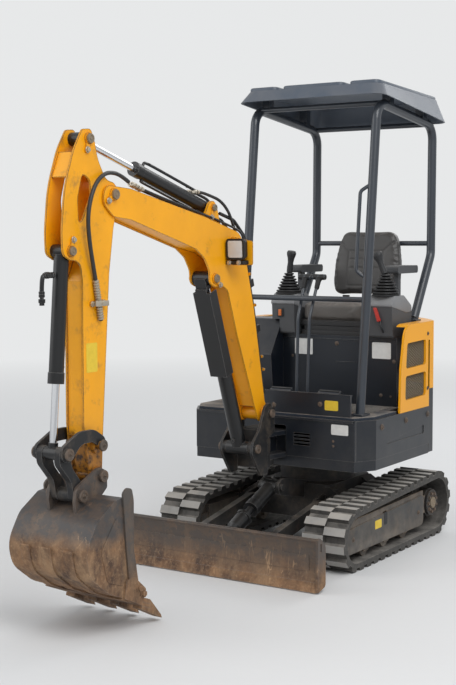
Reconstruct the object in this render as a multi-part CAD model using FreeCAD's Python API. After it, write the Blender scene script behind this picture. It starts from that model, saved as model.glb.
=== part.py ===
"""Mini excavator with a zero-tail house, four-post canopy, swing boom, blade and rubber tracks.

Millimetres. +X is the machine's left, the machine faces -Y, +Z is up. Everything is worked out from
the slew axis, where it meets the ground, and moved at the end so that the origin is the middle of
the whole machine's footprint.
"""
import FreeCAD, Part
import math
import os

from FreeCAD import Vector

# Fits and plate work
SEAT = 0.3                # gap between a piece and the face that carries it
RUN_FIT = 0.08            # radial clearance of a pin in its bore
SIDE_FIT = 1.0            # gap between the side faces of a hinge
ROUND = 0.49              # largest share of an edge that a corner radius may take
FAR = 2000.0              # half size of a block that trims everything beyond a plane

# Tracks
TRACK_OUTER_X = 530.0     # outer face of a belt from the centre line
BELT_WIDTH = 225.0
BELT_THICK = 22.0
LUG_HEIGHT = 18.0
LUG_COUNT = 36
LUG_BASE = 50.0
LUG_TIP = 34.0
IDLER_END_Y = -705.0      # foremost point of the track
SPROCKET_END_Y = 525.0    # rearmost point of the track
IDLER_END_R = 152.0       # radius over the lugs at the front
SPROCKET_END_R = 172.0    # radius over the lugs at the rear
FRAME_INNER_X = 345.0
FRAME_OUTER_X = 500.0
SIDE_PLATE = 8.0
ROLLER_R = 42.0
ROLLER_YS = (-400.0, -180.0, 40.0)
HUB_R = 68.0
SPROCKET_TEETH = 11
SPROCKET_WIDTH = 36.0

# Car body and slew ring
BODY_HALF_X = 205.0
BODY_FRONT_Y = -245.0
BODY_REAR_Y = 215.0
BODY_BOTTOM_Z = 190.0
BODY_TOP_Z = 330.0
RING_R = 212.0
RING_BORE_R = 150.0
RING_BOTTOM_Z = 400.0
BEAM_HALF_Y = 55.0
BEAM_YS = (-190.0, 160.0)
BEAM_Z = (150.0, 250.0)
TOW_EYE_R = 18.0
TOW_EYE_RIM = 34.0        # from the tow eye's centre to its plate's edge
TOW_EYE_REACH = 44.0
TOW_PLATE = 28.0

# Blade
BLADE_FRONT_Y = -1010.0
BLADE_HALF_X = 565.0
BLADE_HEIGHT = 246.0
BLADE_BOTTOM_Z = 4.0
BLADE_PLATE = 10.0
BLADE_HOLLOW = 26.0       # depth of the curve in the blade's face
BLADE_END_DEPTH = 70.0
EDGE_HEIGHT = 52.0
EDGE_THICK = 12.0
BLADE_PIVOT_Y = -330.0
BLADE_PIVOT_Z = 235.0
BLADE_ARM_X = 200.0
BLADE_ARM_WIDTH = 36.0
BLADE_ARM_DEPTH = 66.0
BLADE_CYL_TOP = (-478.0, 343.0)
BLADE_CYL_EYE = (-872.0, 176.0)

# House
DECK_BOTTOM_Z = 455.0
DECK_BAND = 51.0
SKIRT_HEIGHT = 196.0
DECK_PLATE = 14.0
RIB_X = 90.0              # inner face of the deck's two long ribs
RIB_THICK = 14.0
RIB_RISE = 120.0
TONGUE_HALF_X = 74.0      # half width of the deck's tongues where they leave the house
WALL = 12.0
HOUSE_HALF_X = 523.0
HOUSE_FRONT_Y = -466.0
CORNER_X = 459.0          # where the front's chamfer begins
CORNER_Y = -360.0
SKIRT_REAR_Y = 252.0
TAIL_R = 605.0
FLOOR_THICK = 14.0
TAIL_WEIGHT_TOP_Z = 795.0
TAIL_WEIGHT_THICK = 150.0
HOOD_TOP_Z = 1145.0
HOOD_FRONT_Y = -94.0
HOOD_LEAN = 56.0          # how far the hood's front edge leans back at its top
HOOD_WALL = 12.0
HOOD_LEDGE = 62.0         # width of the hood's rim around its lid
HOOD_LID_DEPTH = 60.0
GRILLE_SLAT = 9.0
ENGINE = (-190.0, 310.0, 60.0, 318.0, 520.0, 980.0)  # x, x, y, y, z, z

# Operator's station
STATION_X = 80.0
SEAT_BOX_FRONT_Y = 28.0
SEAT_BOX_DEPTH = 118.0
SEAT_BOX_HALF_X = 340.0
SEAT_BOX_DROP = 73.0      # from the hood's top down to the seat box
SEAT_BOX_WALL = 8.0
SEAT_BOX_TOP_Z = HOOD_TOP_Z - SEAT_BOX_DROP
KICK_Y = -440.0
KICK_HEIGHT = 108.0
KICK_HALF_X = 345.0
CUSHION_HALF_X = 206.0
CUSHION_Y = (0.0, 400.0)
CUSHION_Z = (HOOD_TOP_Z + 5.0, HOOD_TOP_Z + 95.0)
BACK_HALF_X = 204.0
BACK_HEIGHT = 352.0
BACK_BOTTOM_Z = CUSHION_Z[1] + 26.0
BACK_Y = 352.0
BACK_THICK = 62.0
CONSOLE_X = 287.0         # console centre from the station's centre
CONSOLE_HALF = 68.0
CONSOLE_Y = (-10.0, 218.0)
CONSOLE_TOP_Z = HOOD_TOP_Z + 137.0
RIGHT_COVER_TOP_Z = HOOD_TOP_Z + 5.0
STICK_TOP_Z = 1514.0

# Canopy
POST_X = 349.5            # post centre from the station's centre
POST_R = 23.0
CROSSBAR_R = 13.5
POST_FOOT_Y = -349.0
POST_TOP = (-181.0, 2250.0)
REAR_TOP = (474.0, 2172.0)
REAR_KNEE = (466.0, 1490.0)
REAR_FOOT = (262.0, 1160.0)
POST_BEND_R = 85.0
CROSSBAR_Z = 1280.0
ROOF_HALF_X = 418.0
ROOF_FRONT_Y = -262.0
ROOF_REAR_Y = 528.0
ROOF_FRONT_Z = 2280.0     # lower edge of the roof at the front
ROOF_REAR_Z = 2186.0      # lower edge of the roof at the rear
ROOF_TOP_FRONT_Z = 2336.0
ROOF_TOP_REAR_Z = 2302.0
ROOF_INSET = 34.0
ROOF_SLANT = 1.1          # the ends lean in this many times as far as the sides
ROOF_PAD = 44.0
ROOF_PAD_YS = (-60.0, 330.0)
ROOF_WALL = 7.0

# Swing post
POST_PIN_Y = -555.0
POST_PIN_R = 20.0
POST_LUG_R = 46.0
POST_LUG_Z = (470.0, 660.0)
POST_LUG_THICK = 27.0
CHEEK_INNER_X = 80.0
CHEEK_THICK = 13.0

# Boom: pins from its foot (y, z)
FOOT = (POST_PIN_Y - 86.0, 738.0)
BOOM_CYL_BASE = (FOOT[0] - 129.0, FOOT[1] - 156.0)
BOOM_CYL_EYE = (FOOT[0] - 422.0, FOOT[1] + 664.0)
ARM_CYL_BASE = (FOOT[0] - 416.0, FOOT[1] + 984.0)
BOOM_REACH = 1159.0       # from the boom's foot to the arm's pivot, along
BOOM_RISE = 1026.0        # and up
ARM_PIVOT = (FOOT[0] - BOOM_REACH, FOOT[1] + BOOM_RISE)
BOOM_HALF_X = 57.0
BOOM_PLATE = 8.0
BOOM_PIN_R = 20.0
BOSS_R = 34.0

# Arm: pins from its pivot on the boom (y, z)
ARM_CYL_EYE = (ARM_PIVOT[0] - 143.0, ARM_PIVOT[1] + 216.0)
BUCKET_CYL_BASE = (ARM_PIVOT[0] - 259.0, ARM_PIVOT[1] - 226.0)
ARM_DROP = 1131.0         # from the arm's pivot down to the bucket's pin
BUCKET_PIN = (ARM_PIVOT[0] - 119.0, ARM_PIVOT[1] - ARM_DROP)
GUIDE_PIN = (BUCKET_PIN[0] - 2.0, BUCKET_PIN[1] + 125.0)
ARM_HALF_X = 46.0
ARM_PLATE = 8.0
ARM_PIN_R = 17.0
TIP_HALF_X = 60.0

# Bucket: pins from its own pin on the arm (y, z)
LINK_PIN = (BUCKET_PIN[0] - 129.0, BUCKET_PIN[1] - 61.0)
BUCKET_CYL_EYE = (GUIDE_PIN[0] - 209.0, GUIDE_PIN[1] - 9.0)
BUCKET_HALF_X = 200.0
BUCKET_WALL = 9.0
EAR_THICK = 14.0
TOOTH_COUNT = 4
TOOTH_WIDTH = 46.0
LINK_PLATE = 12.0

# Hydraulic cylinders: barrel radius, rod radius, barrel length from the base pin, rod length from
# the eye, eye radius, half width of the base eye, half width of the rod eye
CYLINDERS = {
    "boom": dict(barrel=35.0, rod=17.5, length=550.0, reach=560.0, eye=33.0, base_half=60.0, eye_half=48.0),
    "arm": dict(barrel=29.0, rod=15.0, length=556.0, reach=560.0, eye=27.0, base_half=31.0, eye_half=37.0),
    "bucket": dict(barrel=30.0, rod=15.0, length=520.0, reach=570.0, eye=27.0, base_half=37.0, eye_half=30.0),
    "blade": dict(barrel=37.0, rod=20.0, length=210.0, reach=338.0, eye=34.0, base_half=42.0, eye_half=30.0),
}
PORT_R = 8.0              # radius of a cylinder's ports
PORT_OUT = 9.0            # how far a cylinder's steel line stands off its barrel
LINE_R = 5.0
GUARD_HALF_X = 46.0
GUARD_PLATE = 3.0
GUARD_LENGTH = 420.0
GUARD_DEPTH = 58.0


# Shapes

def span_box(x, y, z):
    """A box between three pairs of limits."""
    size = [b - a for a, b in (x, y, z)]
    return Part.makeBox(size[0], size[1], size[2], Vector(x[0], y[0], z[0]))


def rod_x(centre, radius, x0, x1):
    """A cylinder along X through a (y, z) centre."""
    return Part.makeCylinder(radius, x1 - x0, Vector(x0, centre[0], centre[1]), Vector(1, 0, 0))


def rod_z(centre, radius, z0, z1):
    """A cylinder along Z through an (x, y) centre."""
    return Part.makeCylinder(radius, z1 - z0, Vector(centre[0], centre[1], z0), Vector(0, 0, 1))


def fuse(shapes):
    """One solid made of overlapping shapes."""
    first, rest = shapes[0], list(shapes[1:])
    return first.multiFuse(rest).removeSplitter() if rest else first


def mirrored(shape):
    """The shape's twin on the other side of the centre line."""
    return shape.mirror(Vector(0, 0, 0), Vector(1, 0, 0))


def pair(shape):
    """A shape and its mirrored twin."""
    return [shape, mirrored(shape)]


def outline(points, place):
    """A closed wire through (u, v, corner radius) rows; place turns (u, v) into a point."""
    rows = [(row[0], row[1], row[2] if len(row) > 2 else 0.0) for row in points]
    corners = []
    for i, (u, v, radius) in enumerate(rows):
        here = Vector(u, v, 0)
        back = Vector(rows[i - 1][0], rows[i - 1][1], 0) - here
        ahead = Vector(rows[(i + 1) % len(rows)][0], rows[(i + 1) % len(rows)][1], 0) - here
        angle = back.getAngle(ahead)
        if radius <= 0 or angle > math.pi - 0.01:
            corners.append((here,))
            continue
        shorter = min(back.Length, ahead.Length)
        cut = min(radius / math.tan(angle / 2), ROUND * shorter)
        radius = cut * math.tan(angle / 2)
        start = here + back.normalize() * cut
        end = here + ahead.normalize() * cut
        inward = (back + ahead).normalize()
        middle = here + inward * (radius / math.sin(angle / 2) - radius)
        corners.append((start, middle, end))
    edges = []
    for i, corner in enumerate(corners):
        if len(corner) == 3:
            edges.append(Part.Arc(*[place(p.x, p.y) for p in corner]).toShape())
        start, end = corner[-1], corners[(i + 1) % len(corners)][0]
        if (end - start).Length > 1e-6:
            edges.append(Part.LineSegment(place(start.x, start.y), place(end.x, end.y)).toShape())
    return Part.Wire(edges)


def plate_x(points, x0, x1):
    """A plate with a (y, z) outline between two x."""
    face = Part.Face(outline(points, lambda u, v: Vector(x0, u, v)))
    return face.extrude(Vector(x1 - x0, 0, 0))


def plate_y(points, y0, y1):
    """A plate with an (x, z) outline between two y."""
    face = Part.Face(outline(points, lambda u, v: Vector(u, y0, v)))
    return face.extrude(Vector(0, y1 - y0, 0))


def plate_z(points, z0, z1):
    """A plate with an (x, y) outline between two z."""
    face = Part.Face(outline(points, lambda u, v: Vector(u, v, z0)))
    return face.extrude(Vector(0, 0, z1 - z0))


def rectangle(u, v, radius=0.0):
    """Rows for a rectangle with rounded corners."""
    return [(u[0], v[0], radius), (u[1], v[0], radius), (u[1], v[1], radius), (u[0], v[1], radius)]


def pipe(points, radius, bends):
    """A round bar along straight runs; bends are the radii at the inner points."""
    points = [Vector(*p) for p in points]
    edges = []
    start = points[0]
    for here, after, bend in zip(points[1:], points[2:], bends):
        back = (start - here)
        ahead = (after - here)
        angle = back.getAngle(ahead)
        cut = min(bend / math.tan(angle / 2), ROUND * back.Length, ROUND * ahead.Length)
        bend = cut * math.tan(angle / 2)
        arc_start = here + back.normalize() * cut
        arc_end = here + ahead.normalize() * cut
        middle = here + (back + ahead).normalize() * (bend / math.sin(angle / 2) - bend)
        edges.append(Part.LineSegment(start, arc_start).toShape())
        edges.append(Part.Arc(arc_start, middle, arc_end).toShape())
        start = arc_end
    edges.append(Part.LineSegment(start, points[-1]).toShape())
    ring = Part.Wire([Part.makeCircle(radius, points[0], points[1] - points[0])])
    return Part.Wire(edges).makePipeShell([ring], True, False)


def axis_frame(start, end):
    """Placement whose local +Z runs from one (y, z) pin to another, local +X stays along X."""
    along = Vector(0, end[0] - start[0], end[1] - start[1]).normalize()
    side = Vector(1, 0, 0)
    turn = FreeCAD.Rotation(side, along.cross(side), along, "XYZ")
    return FreeCAD.Placement(Vector(0, start[0], start[1]), turn)


def placed(shape, placement):
    """A copy of a shape at a placement."""
    moved = shape.copy()
    moved.Placement = placement.multiply(moved.Placement)
    return moved


# Tracks

def track_ends(offset):
    """Centres and radii of the track's two round ends, drawn in from the lug tips."""
    front = (IDLER_END_Y + IDLER_END_R, IDLER_END_R, IDLER_END_R - offset)
    rear = (SPROCKET_END_Y - SPROCKET_END_R, SPROCKET_END_R, SPROCKET_END_R - offset)
    return front, rear


def track_slope():
    """Angle of the track's upper run, which rises to the sprocket."""
    (y0, z0, r0), (y1, z1, r1) = track_ends(0.0)
    distance = math.hypot(y1 - y0, z1 - z0)
    return math.atan2(z1 - z0, y1 - y0) + math.asin((r1 - r0) / distance)


def track_stations(offset):
    """Runs and turns of the loop: (length, function of distance giving point and normal)."""
    (y0, z0, r0), (y1, z1, r1) = track_ends(offset)
    slope = track_slope()
    run = y1 - y0
    top_turn = math.pi + slope
    front_turn = math.pi - slope
    up = (math.sin(slope), math.cos(slope))

    def bottom(s):
        return (y0 + s, z0 - r0), (0.0, -1.0)

    def rear(s):
        a = -math.pi / 2 + s / r1
        return (y1 + r1 * math.cos(a), z1 + r1 * math.sin(a)), (math.cos(a), math.sin(a))

    def top(s):
        start = (y1 - r1 * up[0], z1 + r1 * up[1])
        return (start[0] - s * math.cos(slope), start[1] - s * math.sin(slope)), (-up[0], up[1])

    def front(s):
        a = math.pi / 2 + slope + s / r0
        return (y0 + r0 * math.cos(a), z0 + r0 * math.sin(a)), (math.cos(a), math.sin(a))

    return [(run, bottom), (r1 * top_turn, rear), (run, top), (r0 * front_turn, front)]


def on_track(stations, distance):
    """Point and outward normal at a distance along the loop."""
    total = sum(length for length, _ in stations)
    distance %= total
    for length, where in stations:
        if distance < length:
            return where(distance)
        distance -= length
    return stations[-1][1](stations[-1][0])


def lugged_outline(shift):
    """(y, z) points around the belt and its lugs; shift moves the lugs by a share of their pitch."""
    stations = track_stations(LUG_HEIGHT)
    total = sum(length for length, _ in stations)
    pitch = total / LUG_COUNT
    points = []
    for i in range(LUG_COUNT):
        centre = (i + shift) * pitch
        for along, height in ((-LUG_BASE / 2, 0), (-LUG_TIP / 2, LUG_HEIGHT),
                              (LUG_TIP / 2, LUG_HEIGHT), (LUG_BASE / 2, 0)):
            (y, z), (ny, nz) = on_track(stations, centre + along)
            points.append((y + ny * height, z + nz * height))
    return points


def track(side):
    """One rubber belt with two staggered rows of lugs."""
    inner = track_stations(LUG_HEIGHT + BELT_THICK)
    ends = []
    middles = []
    distance = 0.0
    for length, _ in inner:
        ends.append(on_track(inner, distance)[0])
        middles.append(on_track(inner, distance + length / 2)[0])
        distance += length
    inside = TRACK_OUTER_X - BELT_WIDTH
    middle_x = TRACK_OUTER_X - BELT_WIDTH / 2
    rows = []
    for x0, x1, shift in ((inside, middle_x, 0.0), (middle_x, TRACK_OUTER_X, 0.5)):
        def at(p, x=x0):
            return Vector(x, p[0], p[1])
        rim = Part.makePolygon([at(p) for p in lugged_outline(shift) + lugged_outline(shift)[:1]])
        hole = []
        for i in range(4):
            a, b = ends[i], ends[(i + 1) % 4]
            if i % 2:
                hole.append(Part.Arc(at(a), at(middles[i]), at(b)).toShape())
            else:
                hole.append(Part.LineSegment(at(a), at(b)).toShape())
        face = Part.Face(rim).cut(Part.Face(Part.Wire(hole)))
        rows.append(face.extrude(Vector(x1 - x0, 0, 0)))
    belt = rows[0].fuse(rows[1]).removeSplitter()
    return belt if side > 0 else mirrored(belt)


def track_frame(side):
    """Beam, outer side plate, idler, rollers and their axles inside one track."""
    (y0, z0, r0), (y1, z1, r1) = track_ends(LUG_HEIGHT + BELT_THICK)
    floor = LUG_HEIGHT + BELT_THICK
    plate_rear = y1 - HUB_R - 50.0
    lip = 16.0
    beam = span_box((FRAME_INNER_X, FRAME_OUTER_X - SIDE_PLATE), (y0 + 30.0, y1 - 20.0),
                    (z0 - 22.0, z0 + 68.0))
    cover = plate_x([(y0 - r0 + lip, z0 - 60.0, 66.0), (plate_rear, z0 - 60.0, 4.0),
                     (plate_rear, z0 + r0 - lip + 8.0, 4.0), (y0 - r0 + lip, z0 + r0 - lip - 8.0, 66.0)],
                    FRAME_OUTER_X - SIDE_PLATE, FRAME_OUTER_X)
    ledge = span_box((FRAME_OUTER_X - 40.0, FRAME_OUTER_X - 1.0), (y0 + 30.0, plate_rear),
                     (z0 + r0 - lip - 12.0, z0 + r0 - lip - 2.0))
    motor_plate = plate_x([(plate_rear - 10.0, z1 - 84.0, 6.0), (y1 + 30.0, z1 - 84.0, 30.0),
                           (y1 + 30.0, z1 + 84.0, 30.0), (plate_rear - 10.0, z1 + 84.0, 6.0)],
                          FRAME_INNER_X, FRAME_INNER_X + 12.0)
    slot = span_box((FRAME_OUTER_X - SIDE_PLATE - 4.0, FRAME_OUTER_X + 1.0), (-235.0, -195.0),
                    (z0 + 12.0, z0 + 76.0))
    idler = fuse([rod_x((y0, z0), r0 - SEAT, TRACK_OUTER_X - BELT_WIDTH / 2 - 22.0,
                        TRACK_OUTER_X - BELT_WIDTH / 2 + 22.0)]
                 + [rod_x((y0, z0), r0 - 26.0, FRAME_INNER_X + 24.0, FRAME_OUTER_X - SIDE_PLATE - 24.0)])
    yoke = [span_box((x, x + 14.0), (y0 - 25.0, y0 + 40.0), (z0 - 26.0, z0 + 26.0))
            for x in (FRAME_INNER_X + 10.0, FRAME_OUTER_X - SIDE_PLATE - 24.0)]
    rollers = []
    for y in ROLLER_YS:
        centre = (y, floor + ROLLER_R + SEAT)
        rollers.append(rod_x(centre, ROLLER_R, FRAME_INNER_X + 14.0, FRAME_OUTER_X - SIDE_PLATE - 14.0))
        groove_mid = TRACK_OUTER_X - BELT_WIDTH / 2
        groove = rod_x(centre, ROLLER_R + 1.0, groove_mid - 20.0, groove_mid + 20.0).cut(
            rod_x(centre, ROLLER_R - 12.0, groove_mid - 21.0, groove_mid + 21.0))
        rollers[-1] = rollers[-1].cut(groove)
        for x in (FRAME_INNER_X, FRAME_OUTER_X - SIDE_PLATE - 13.0):
            rollers.append(span_box((x, x + 13.0), (y - 24.0, y + 24.0), (centre[1] - 16.0, z0)))
        rollers.append(rod_x(centre, 14.0, FRAME_INNER_X, FRAME_OUTER_X - SIDE_PLATE))
    carrier = (-150.0, z0 + r0 - 26.0)
    rollers.append(rod_x(carrier, 20.0, groove_mid - 34.0, groove_mid + 34.0))
    rollers.append(span_box((groove_mid - 8.0, groove_mid + 8.0), (carrier[0] - 14.0, carrier[0] + 14.0),
                            (z0, carrier[1])))
    frame = fuse([beam, cover, ledge, motor_plate, idler] + yoke + rollers).cut(slot)
    half = SPROCKET_WIDTH / 2 + 3.0
    frame = frame.cut(rod_x((y1, z1), r1 + 3.0, groove_mid - half, groove_mid + half))
    frame = frame.cut(rod_x((y1, z1), HUB_R + 17.0, FRAME_INNER_X + 12.0, FRAME_OUTER_X + 1.0))
    return frame if side > 0 else mirrored(frame)


def sprocket(side):
    """Toothed drive wheel on its motor."""
    _, (y1, z1, r1) = track_ends(LUG_HEIGHT + BELT_THICK)
    mid = TRACK_OUTER_X - BELT_WIDTH / 2
    tip, root = r1 - SEAT, r1 - 24.0
    rim = []
    for i in range(SPROCKET_TEETH):
        for share, radius in ((0.0, root), (0.30, root), (0.42, tip), (0.62, tip), (0.74, root)):
            a = 2 * math.pi * (i + share) / SPROCKET_TEETH
            rim.append((y1 + radius * math.cos(a), z1 + radius * math.sin(a)))
    wheel = plate_x(rim, mid - SPROCKET_WIDTH / 2, mid + SPROCKET_WIDTH / 2)
    motor = rod_x((y1, z1), HUB_R + 14.0, FRAME_INNER_X + 12.0 + SEAT, mid)
    drum = rod_x((y1, z1), HUB_R + 6.0, mid, FRAME_OUTER_X - 18.0)
    cap = rod_x((y1, z1), HUB_R, FRAME_OUTER_X - 20.0, FRAME_OUTER_X)
    whole = fuse([wheel, motor, drum, cap])
    return whole if side > 0 else mirrored(whole)


# Undercarriage

def car_body():
    """Centre box, cross beams to the track frames, ring seat and the blade's lugs."""
    box = span_box((-BODY_HALF_X, BODY_HALF_X), (BODY_FRONT_Y, BODY_REAR_Y), (BODY_BOTTOM_Z, BODY_TOP_Z))
    box = box.makeChamfer(28.0, [e for e in box.Edges if abs(e.BoundBox.ZLength - (BODY_TOP_Z - BODY_BOTTOM_Z)) < 1])
    beams = [plate_y([(-FRAME_INNER_X + SEAT, BEAM_Z[0]), (FRAME_INNER_X - SEAT, BEAM_Z[0]),
                      (FRAME_INNER_X - SEAT, BEAM_Z[1] - 20.0), (BODY_HALF_X, BODY_TOP_Z - 10.0),
                      (-BODY_HALF_X, BODY_TOP_Z - 10.0), (-FRAME_INNER_X + SEAT, BEAM_Z[1] - 20.0)],
                     y - BEAM_HALF_Y, y + BEAM_HALF_Y) for y in BEAM_YS]
    seat = rod_z((0, 0), RING_R - 14.0, BODY_TOP_Z - 5.0, RING_BOTTOM_Z)
    well = rod_z((0, 0), RING_BORE_R - 20.0, BODY_BOTTOM_Z + 30.0, RING_BOTTOM_Z + 1.0)
    lugs = []
    pivot = (BLADE_PIVOT_Y, BLADE_PIVOT_Z)
    inner = BLADE_ARM_X - BLADE_ARM_WIDTH / 2 - SIDE_FIT
    outer = BLADE_ARM_X + BLADE_ARM_WIDTH / 2 + SIDE_FIT
    lug = [(BODY_FRONT_Y + 40.0, BODY_BOTTOM_Z, 0), (pivot[0] - BOSS_R, BODY_BOTTOM_Z, 30.0),
           (pivot[0] - BOSS_R, pivot[1] + BOSS_R, 30.0), (BODY_FRONT_Y + 40.0, pivot[1] + BOSS_R + 20.0, 0)]
    for x0, x1 in ((inner - 14.0, inner), (outer, outer + 14.0)):
        lugs += pair(plate_x(lug, x0, x1))
    tie = span_box((outer - 40.0, outer + 14.0), (BODY_FRONT_Y + 10.0, BODY_FRONT_Y + 60.0),
                   (BODY_BOTTOM_Z, BODY_TOP_Z - 20.0))
    pin = rod_x(pivot, 14.0, inner - 14.0, outer + 22.0)
    lugs += pair(tie) + pair(pin)
    eye = (0.0, BODY_REAR_Y + TOW_EYE_REACH)
    tow = plate_z([(-2 * TOW_EYE_RIM, BODY_REAR_Y - 10.0), (2 * TOW_EYE_RIM, BODY_REAR_Y - 10.0),
                   (TOW_EYE_RIM, eye[1] + TOW_EYE_RIM, TOW_EYE_RIM), (-TOW_EYE_RIM, eye[1] + TOW_EYE_RIM, TOW_EYE_RIM)],
                  BODY_BOTTOM_Z, BODY_BOTTOM_Z + TOW_PLATE)
    lugs.append(tow.cut(rod_z(eye, TOW_EYE_R, BODY_BOTTOM_Z - 1.0, BODY_BOTTOM_Z + TOW_PLATE + 1.0)))
    half = CYLINDERS["blade"]["base_half"] + SIDE_FIT
    nose = [(BODY_FRONT_Y + 30.0, BODY_BOTTOM_Z + 60.0, 0), (BLADE_CYL_TOP[0] - 10.0, BLADE_CYL_TOP[1] - 36.0, 30.0),
            (BLADE_CYL_TOP[0] - 36.0, BLADE_CYL_TOP[1] + 20.0, 30.0),
            (BLADE_CYL_TOP[0] + 20.0, BLADE_CYL_TOP[1] + 44.0, 30.0), (BODY_FRONT_Y + 30.0, BODY_TOP_Z + 10.0, 0)]
    lugs += pair(plate_x(nose, half, half + 14.0))
    lugs.append(rod_x(BLADE_CYL_TOP, 16.0, -half - 26.0, half + 26.0))
    return fuse([box, seat] + beams + lugs).cut(well)


def slew_ring():
    """The bearing's outer race, bolted to the car body."""
    top = DECK_BOTTOM_Z - 2 * SEAT
    ring = rod_z((0, 0), RING_R, RING_BOTTOM_Z + SEAT, top)
    groove = rod_z((0, 0), RING_R + 1.0, RING_BOTTOM_Z + 22.0, RING_BOTTOM_Z + 32.0).cut(
        rod_z((0, 0), RING_R - 10.0, RING_BOTTOM_Z + 21.0, RING_BOTTOM_Z + 33.0))
    return ring.cut(rod_z((0, 0), RING_BORE_R, RING_BOTTOM_Z - 1.0, top + 1.0)).cut(groove)


# Blade

def blade_back_y():
    """Back of the blade's plate at its ends."""
    return BLADE_FRONT_Y + BLADE_HOLLOW + BLADE_PLATE


def blade_section(low, high):
    """(y, z) wire of the curved plate between two heights."""
    top = BLADE_BOTTOM_Z + BLADE_HEIGHT
    middle = BLADE_BOTTOM_Z + BLADE_HEIGHT * 0.5
    half = BLADE_HEIGHT / 2
    radius = (half * half + BLADE_HOLLOW * BLADE_HOLLOW) / (2 * BLADE_HOLLOW)
    centre_y = BLADE_FRONT_Y + BLADE_HOLLOW - radius

    def at(z, r):
        return Vector(0, centre_y + math.sqrt(r * r - (z - middle) ** 2), z)
    low, high = max(low, BLADE_BOTTOM_Z), min(high, top)
    mid = (low + high) / 2
    inner, outer = radius, radius + BLADE_PLATE
    return Part.Wire([Part.Arc(at(low, inner), at(mid, inner), at(high, inner)).toShape(),
                      Part.LineSegment(at(high, inner), at(high, outer)).toShape(),
                      Part.Arc(at(high, outer), at(mid, outer), at(low, outer)).toShape(),
                      Part.LineSegment(at(low, outer), at(low, inner)).toShape()])


def blade_board():
    """Curved plate, top roll, end plates with their slots, back stiffener and cylinder lugs."""
    seam = BLADE_BOTTOM_Z + EDGE_HEIGHT
    top = BLADE_BOTTOM_Z + BLADE_HEIGHT
    half = BLADE_HALF_X
    board = Part.Face(blade_section(seam - 8.0, top)).extrude(Vector(2 * half - 20.0, 0, 0))
    board.translate(Vector(-half + 10.0, 0, 0))
    roll = rod_x((BLADE_FRONT_Y + 10.0, top - 9.0), 9.0, -half + 10.0, half - 10.0)
    end = plate_x([(BLADE_FRONT_Y, BLADE_BOTTOM_Z + 2.0, 4.0), (BLADE_FRONT_Y + BLADE_END_DEPTH, BLADE_BOTTOM_Z + 20.0, 20.0),
                   (BLADE_FRONT_Y + BLADE_END_DEPTH, top - 40.0, 30.0), (BLADE_FRONT_Y + 24.0, top, 8.0),
                   (BLADE_FRONT_Y, top, 6.0)], half - 12.0, half)
    slot = span_box((half - 13.0, half + 1.0), (BLADE_FRONT_Y + 22.0, BLADE_FRONT_Y + 32.0), (top - 62.0, top - 24.0))
    end = end.cut(slot)
    back = blade_back_y()
    bar = plate_x([(back - 14.0, 96.0), (back + 42.0, 96.0, 8.0), (back + 42.0, 168.0, 8.0), (back - 14.0, 168.0)],
                  -half + 60.0, half - 60.0)
    eye = BLADE_CYL_EYE
    gap = CYLINDERS["blade"]["eye_half"] + SIDE_FIT
    lug = plate_x([(back + 20.0, 100.0), (eye[0] + 30.0, eye[1] - 34.0, 30.0), (eye[0] + 34.0, eye[1] + 30.0, 30.0),
                   (back - 8.0, top - 30.0)], gap, gap + 12.0)
    head = rod_x(eye, 22.0, gap + 12.0, gap + 22.0)
    ribs = [plate_x([(back - 10.0, 168.0), (back + 30.0, 168.0), (back - 6.0, top - 14.0), (back - 12.0, top - 14.0)],
                    x - 5.0, x + 5.0) for x in (-380.0, -BLADE_ARM_X, BLADE_ARM_X, 380.0)]
    return fuse([board, roll, bar] + pair(end) + pair(lug) + pair(head) + ribs)


def blade_edge():
    """Replaceable cutting edge in front of the blade's foot."""
    seam = BLADE_BOTTOM_Z + EDGE_HEIGHT
    wire = Part.Face(blade_section(BLADE_BOTTOM_Z, seam - 8.0 - SEAT))
    edge = wire.extrude(Vector(2 * BLADE_HALF_X - 24.0 - 2 * SEAT, 0, 0))
    edge.translate(Vector(-BLADE_HALF_X + 12.0 + SEAT, 0, 0))
    return edge


def blade_arms():
    """Two push arms with pivot bosses and a cross plate."""
    back = blade_back_y() + 42.0 + SEAT
    pivot = (BLADE_PIVOT_Y, BLADE_PIVOT_Z)
    half = BLADE_ARM_DEPTH / 2
    arm = plate_x([(back, 100.0), (back, 100.0 + BLADE_ARM_DEPTH), (pivot[0] - 40.0, pivot[1] + half, 60.0),
                   (pivot[0] + half, pivot[1] + half, half), (pivot[0] + half, pivot[1] - half, half),
                   (pivot[0] - 40.0, pivot[1] - half, 60.0)],
                  BLADE_ARM_X - BLADE_ARM_WIDTH / 2, BLADE_ARM_X + BLADE_ARM_WIDTH / 2)
    arm = arm.cut(rod_x(pivot, 14.0 + RUN_FIT, BLADE_ARM_X - 40.0, BLADE_ARM_X + 40.0))
    cross = span_box((-BLADE_ARM_X, BLADE_ARM_X), (back + 90.0, back + 106.0), (96.0, 134.0))
    foot = plate_x([(back, 96.0), (back + 8.0, 96.0), (back + 8.0, 172.0), (back, 172.0)],
                   BLADE_ARM_X - 44.0, BLADE_ARM_X + 44.0)
    return fuse(pair(arm) + pair(foot) + [cross])


# Hydraulic cylinders

def cylinder_frame(kind):
    """Placement of a cylinder, its length from pin to eye, and its sizes."""
    pins = {"boom": (BOOM_CYL_BASE, BOOM_CYL_EYE), "arm": (ARM_CYL_BASE, ARM_CYL_EYE),
            "bucket": (BUCKET_CYL_BASE, BUCKET_CYL_EYE), "blade": (BLADE_CYL_TOP, BLADE_CYL_EYE)}
    base, eye = pins[kind]
    length = math.hypot(eye[0] - base[0], eye[1] - base[1])
    return axis_frame(base, eye), length, CYLINDERS[kind]


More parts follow.
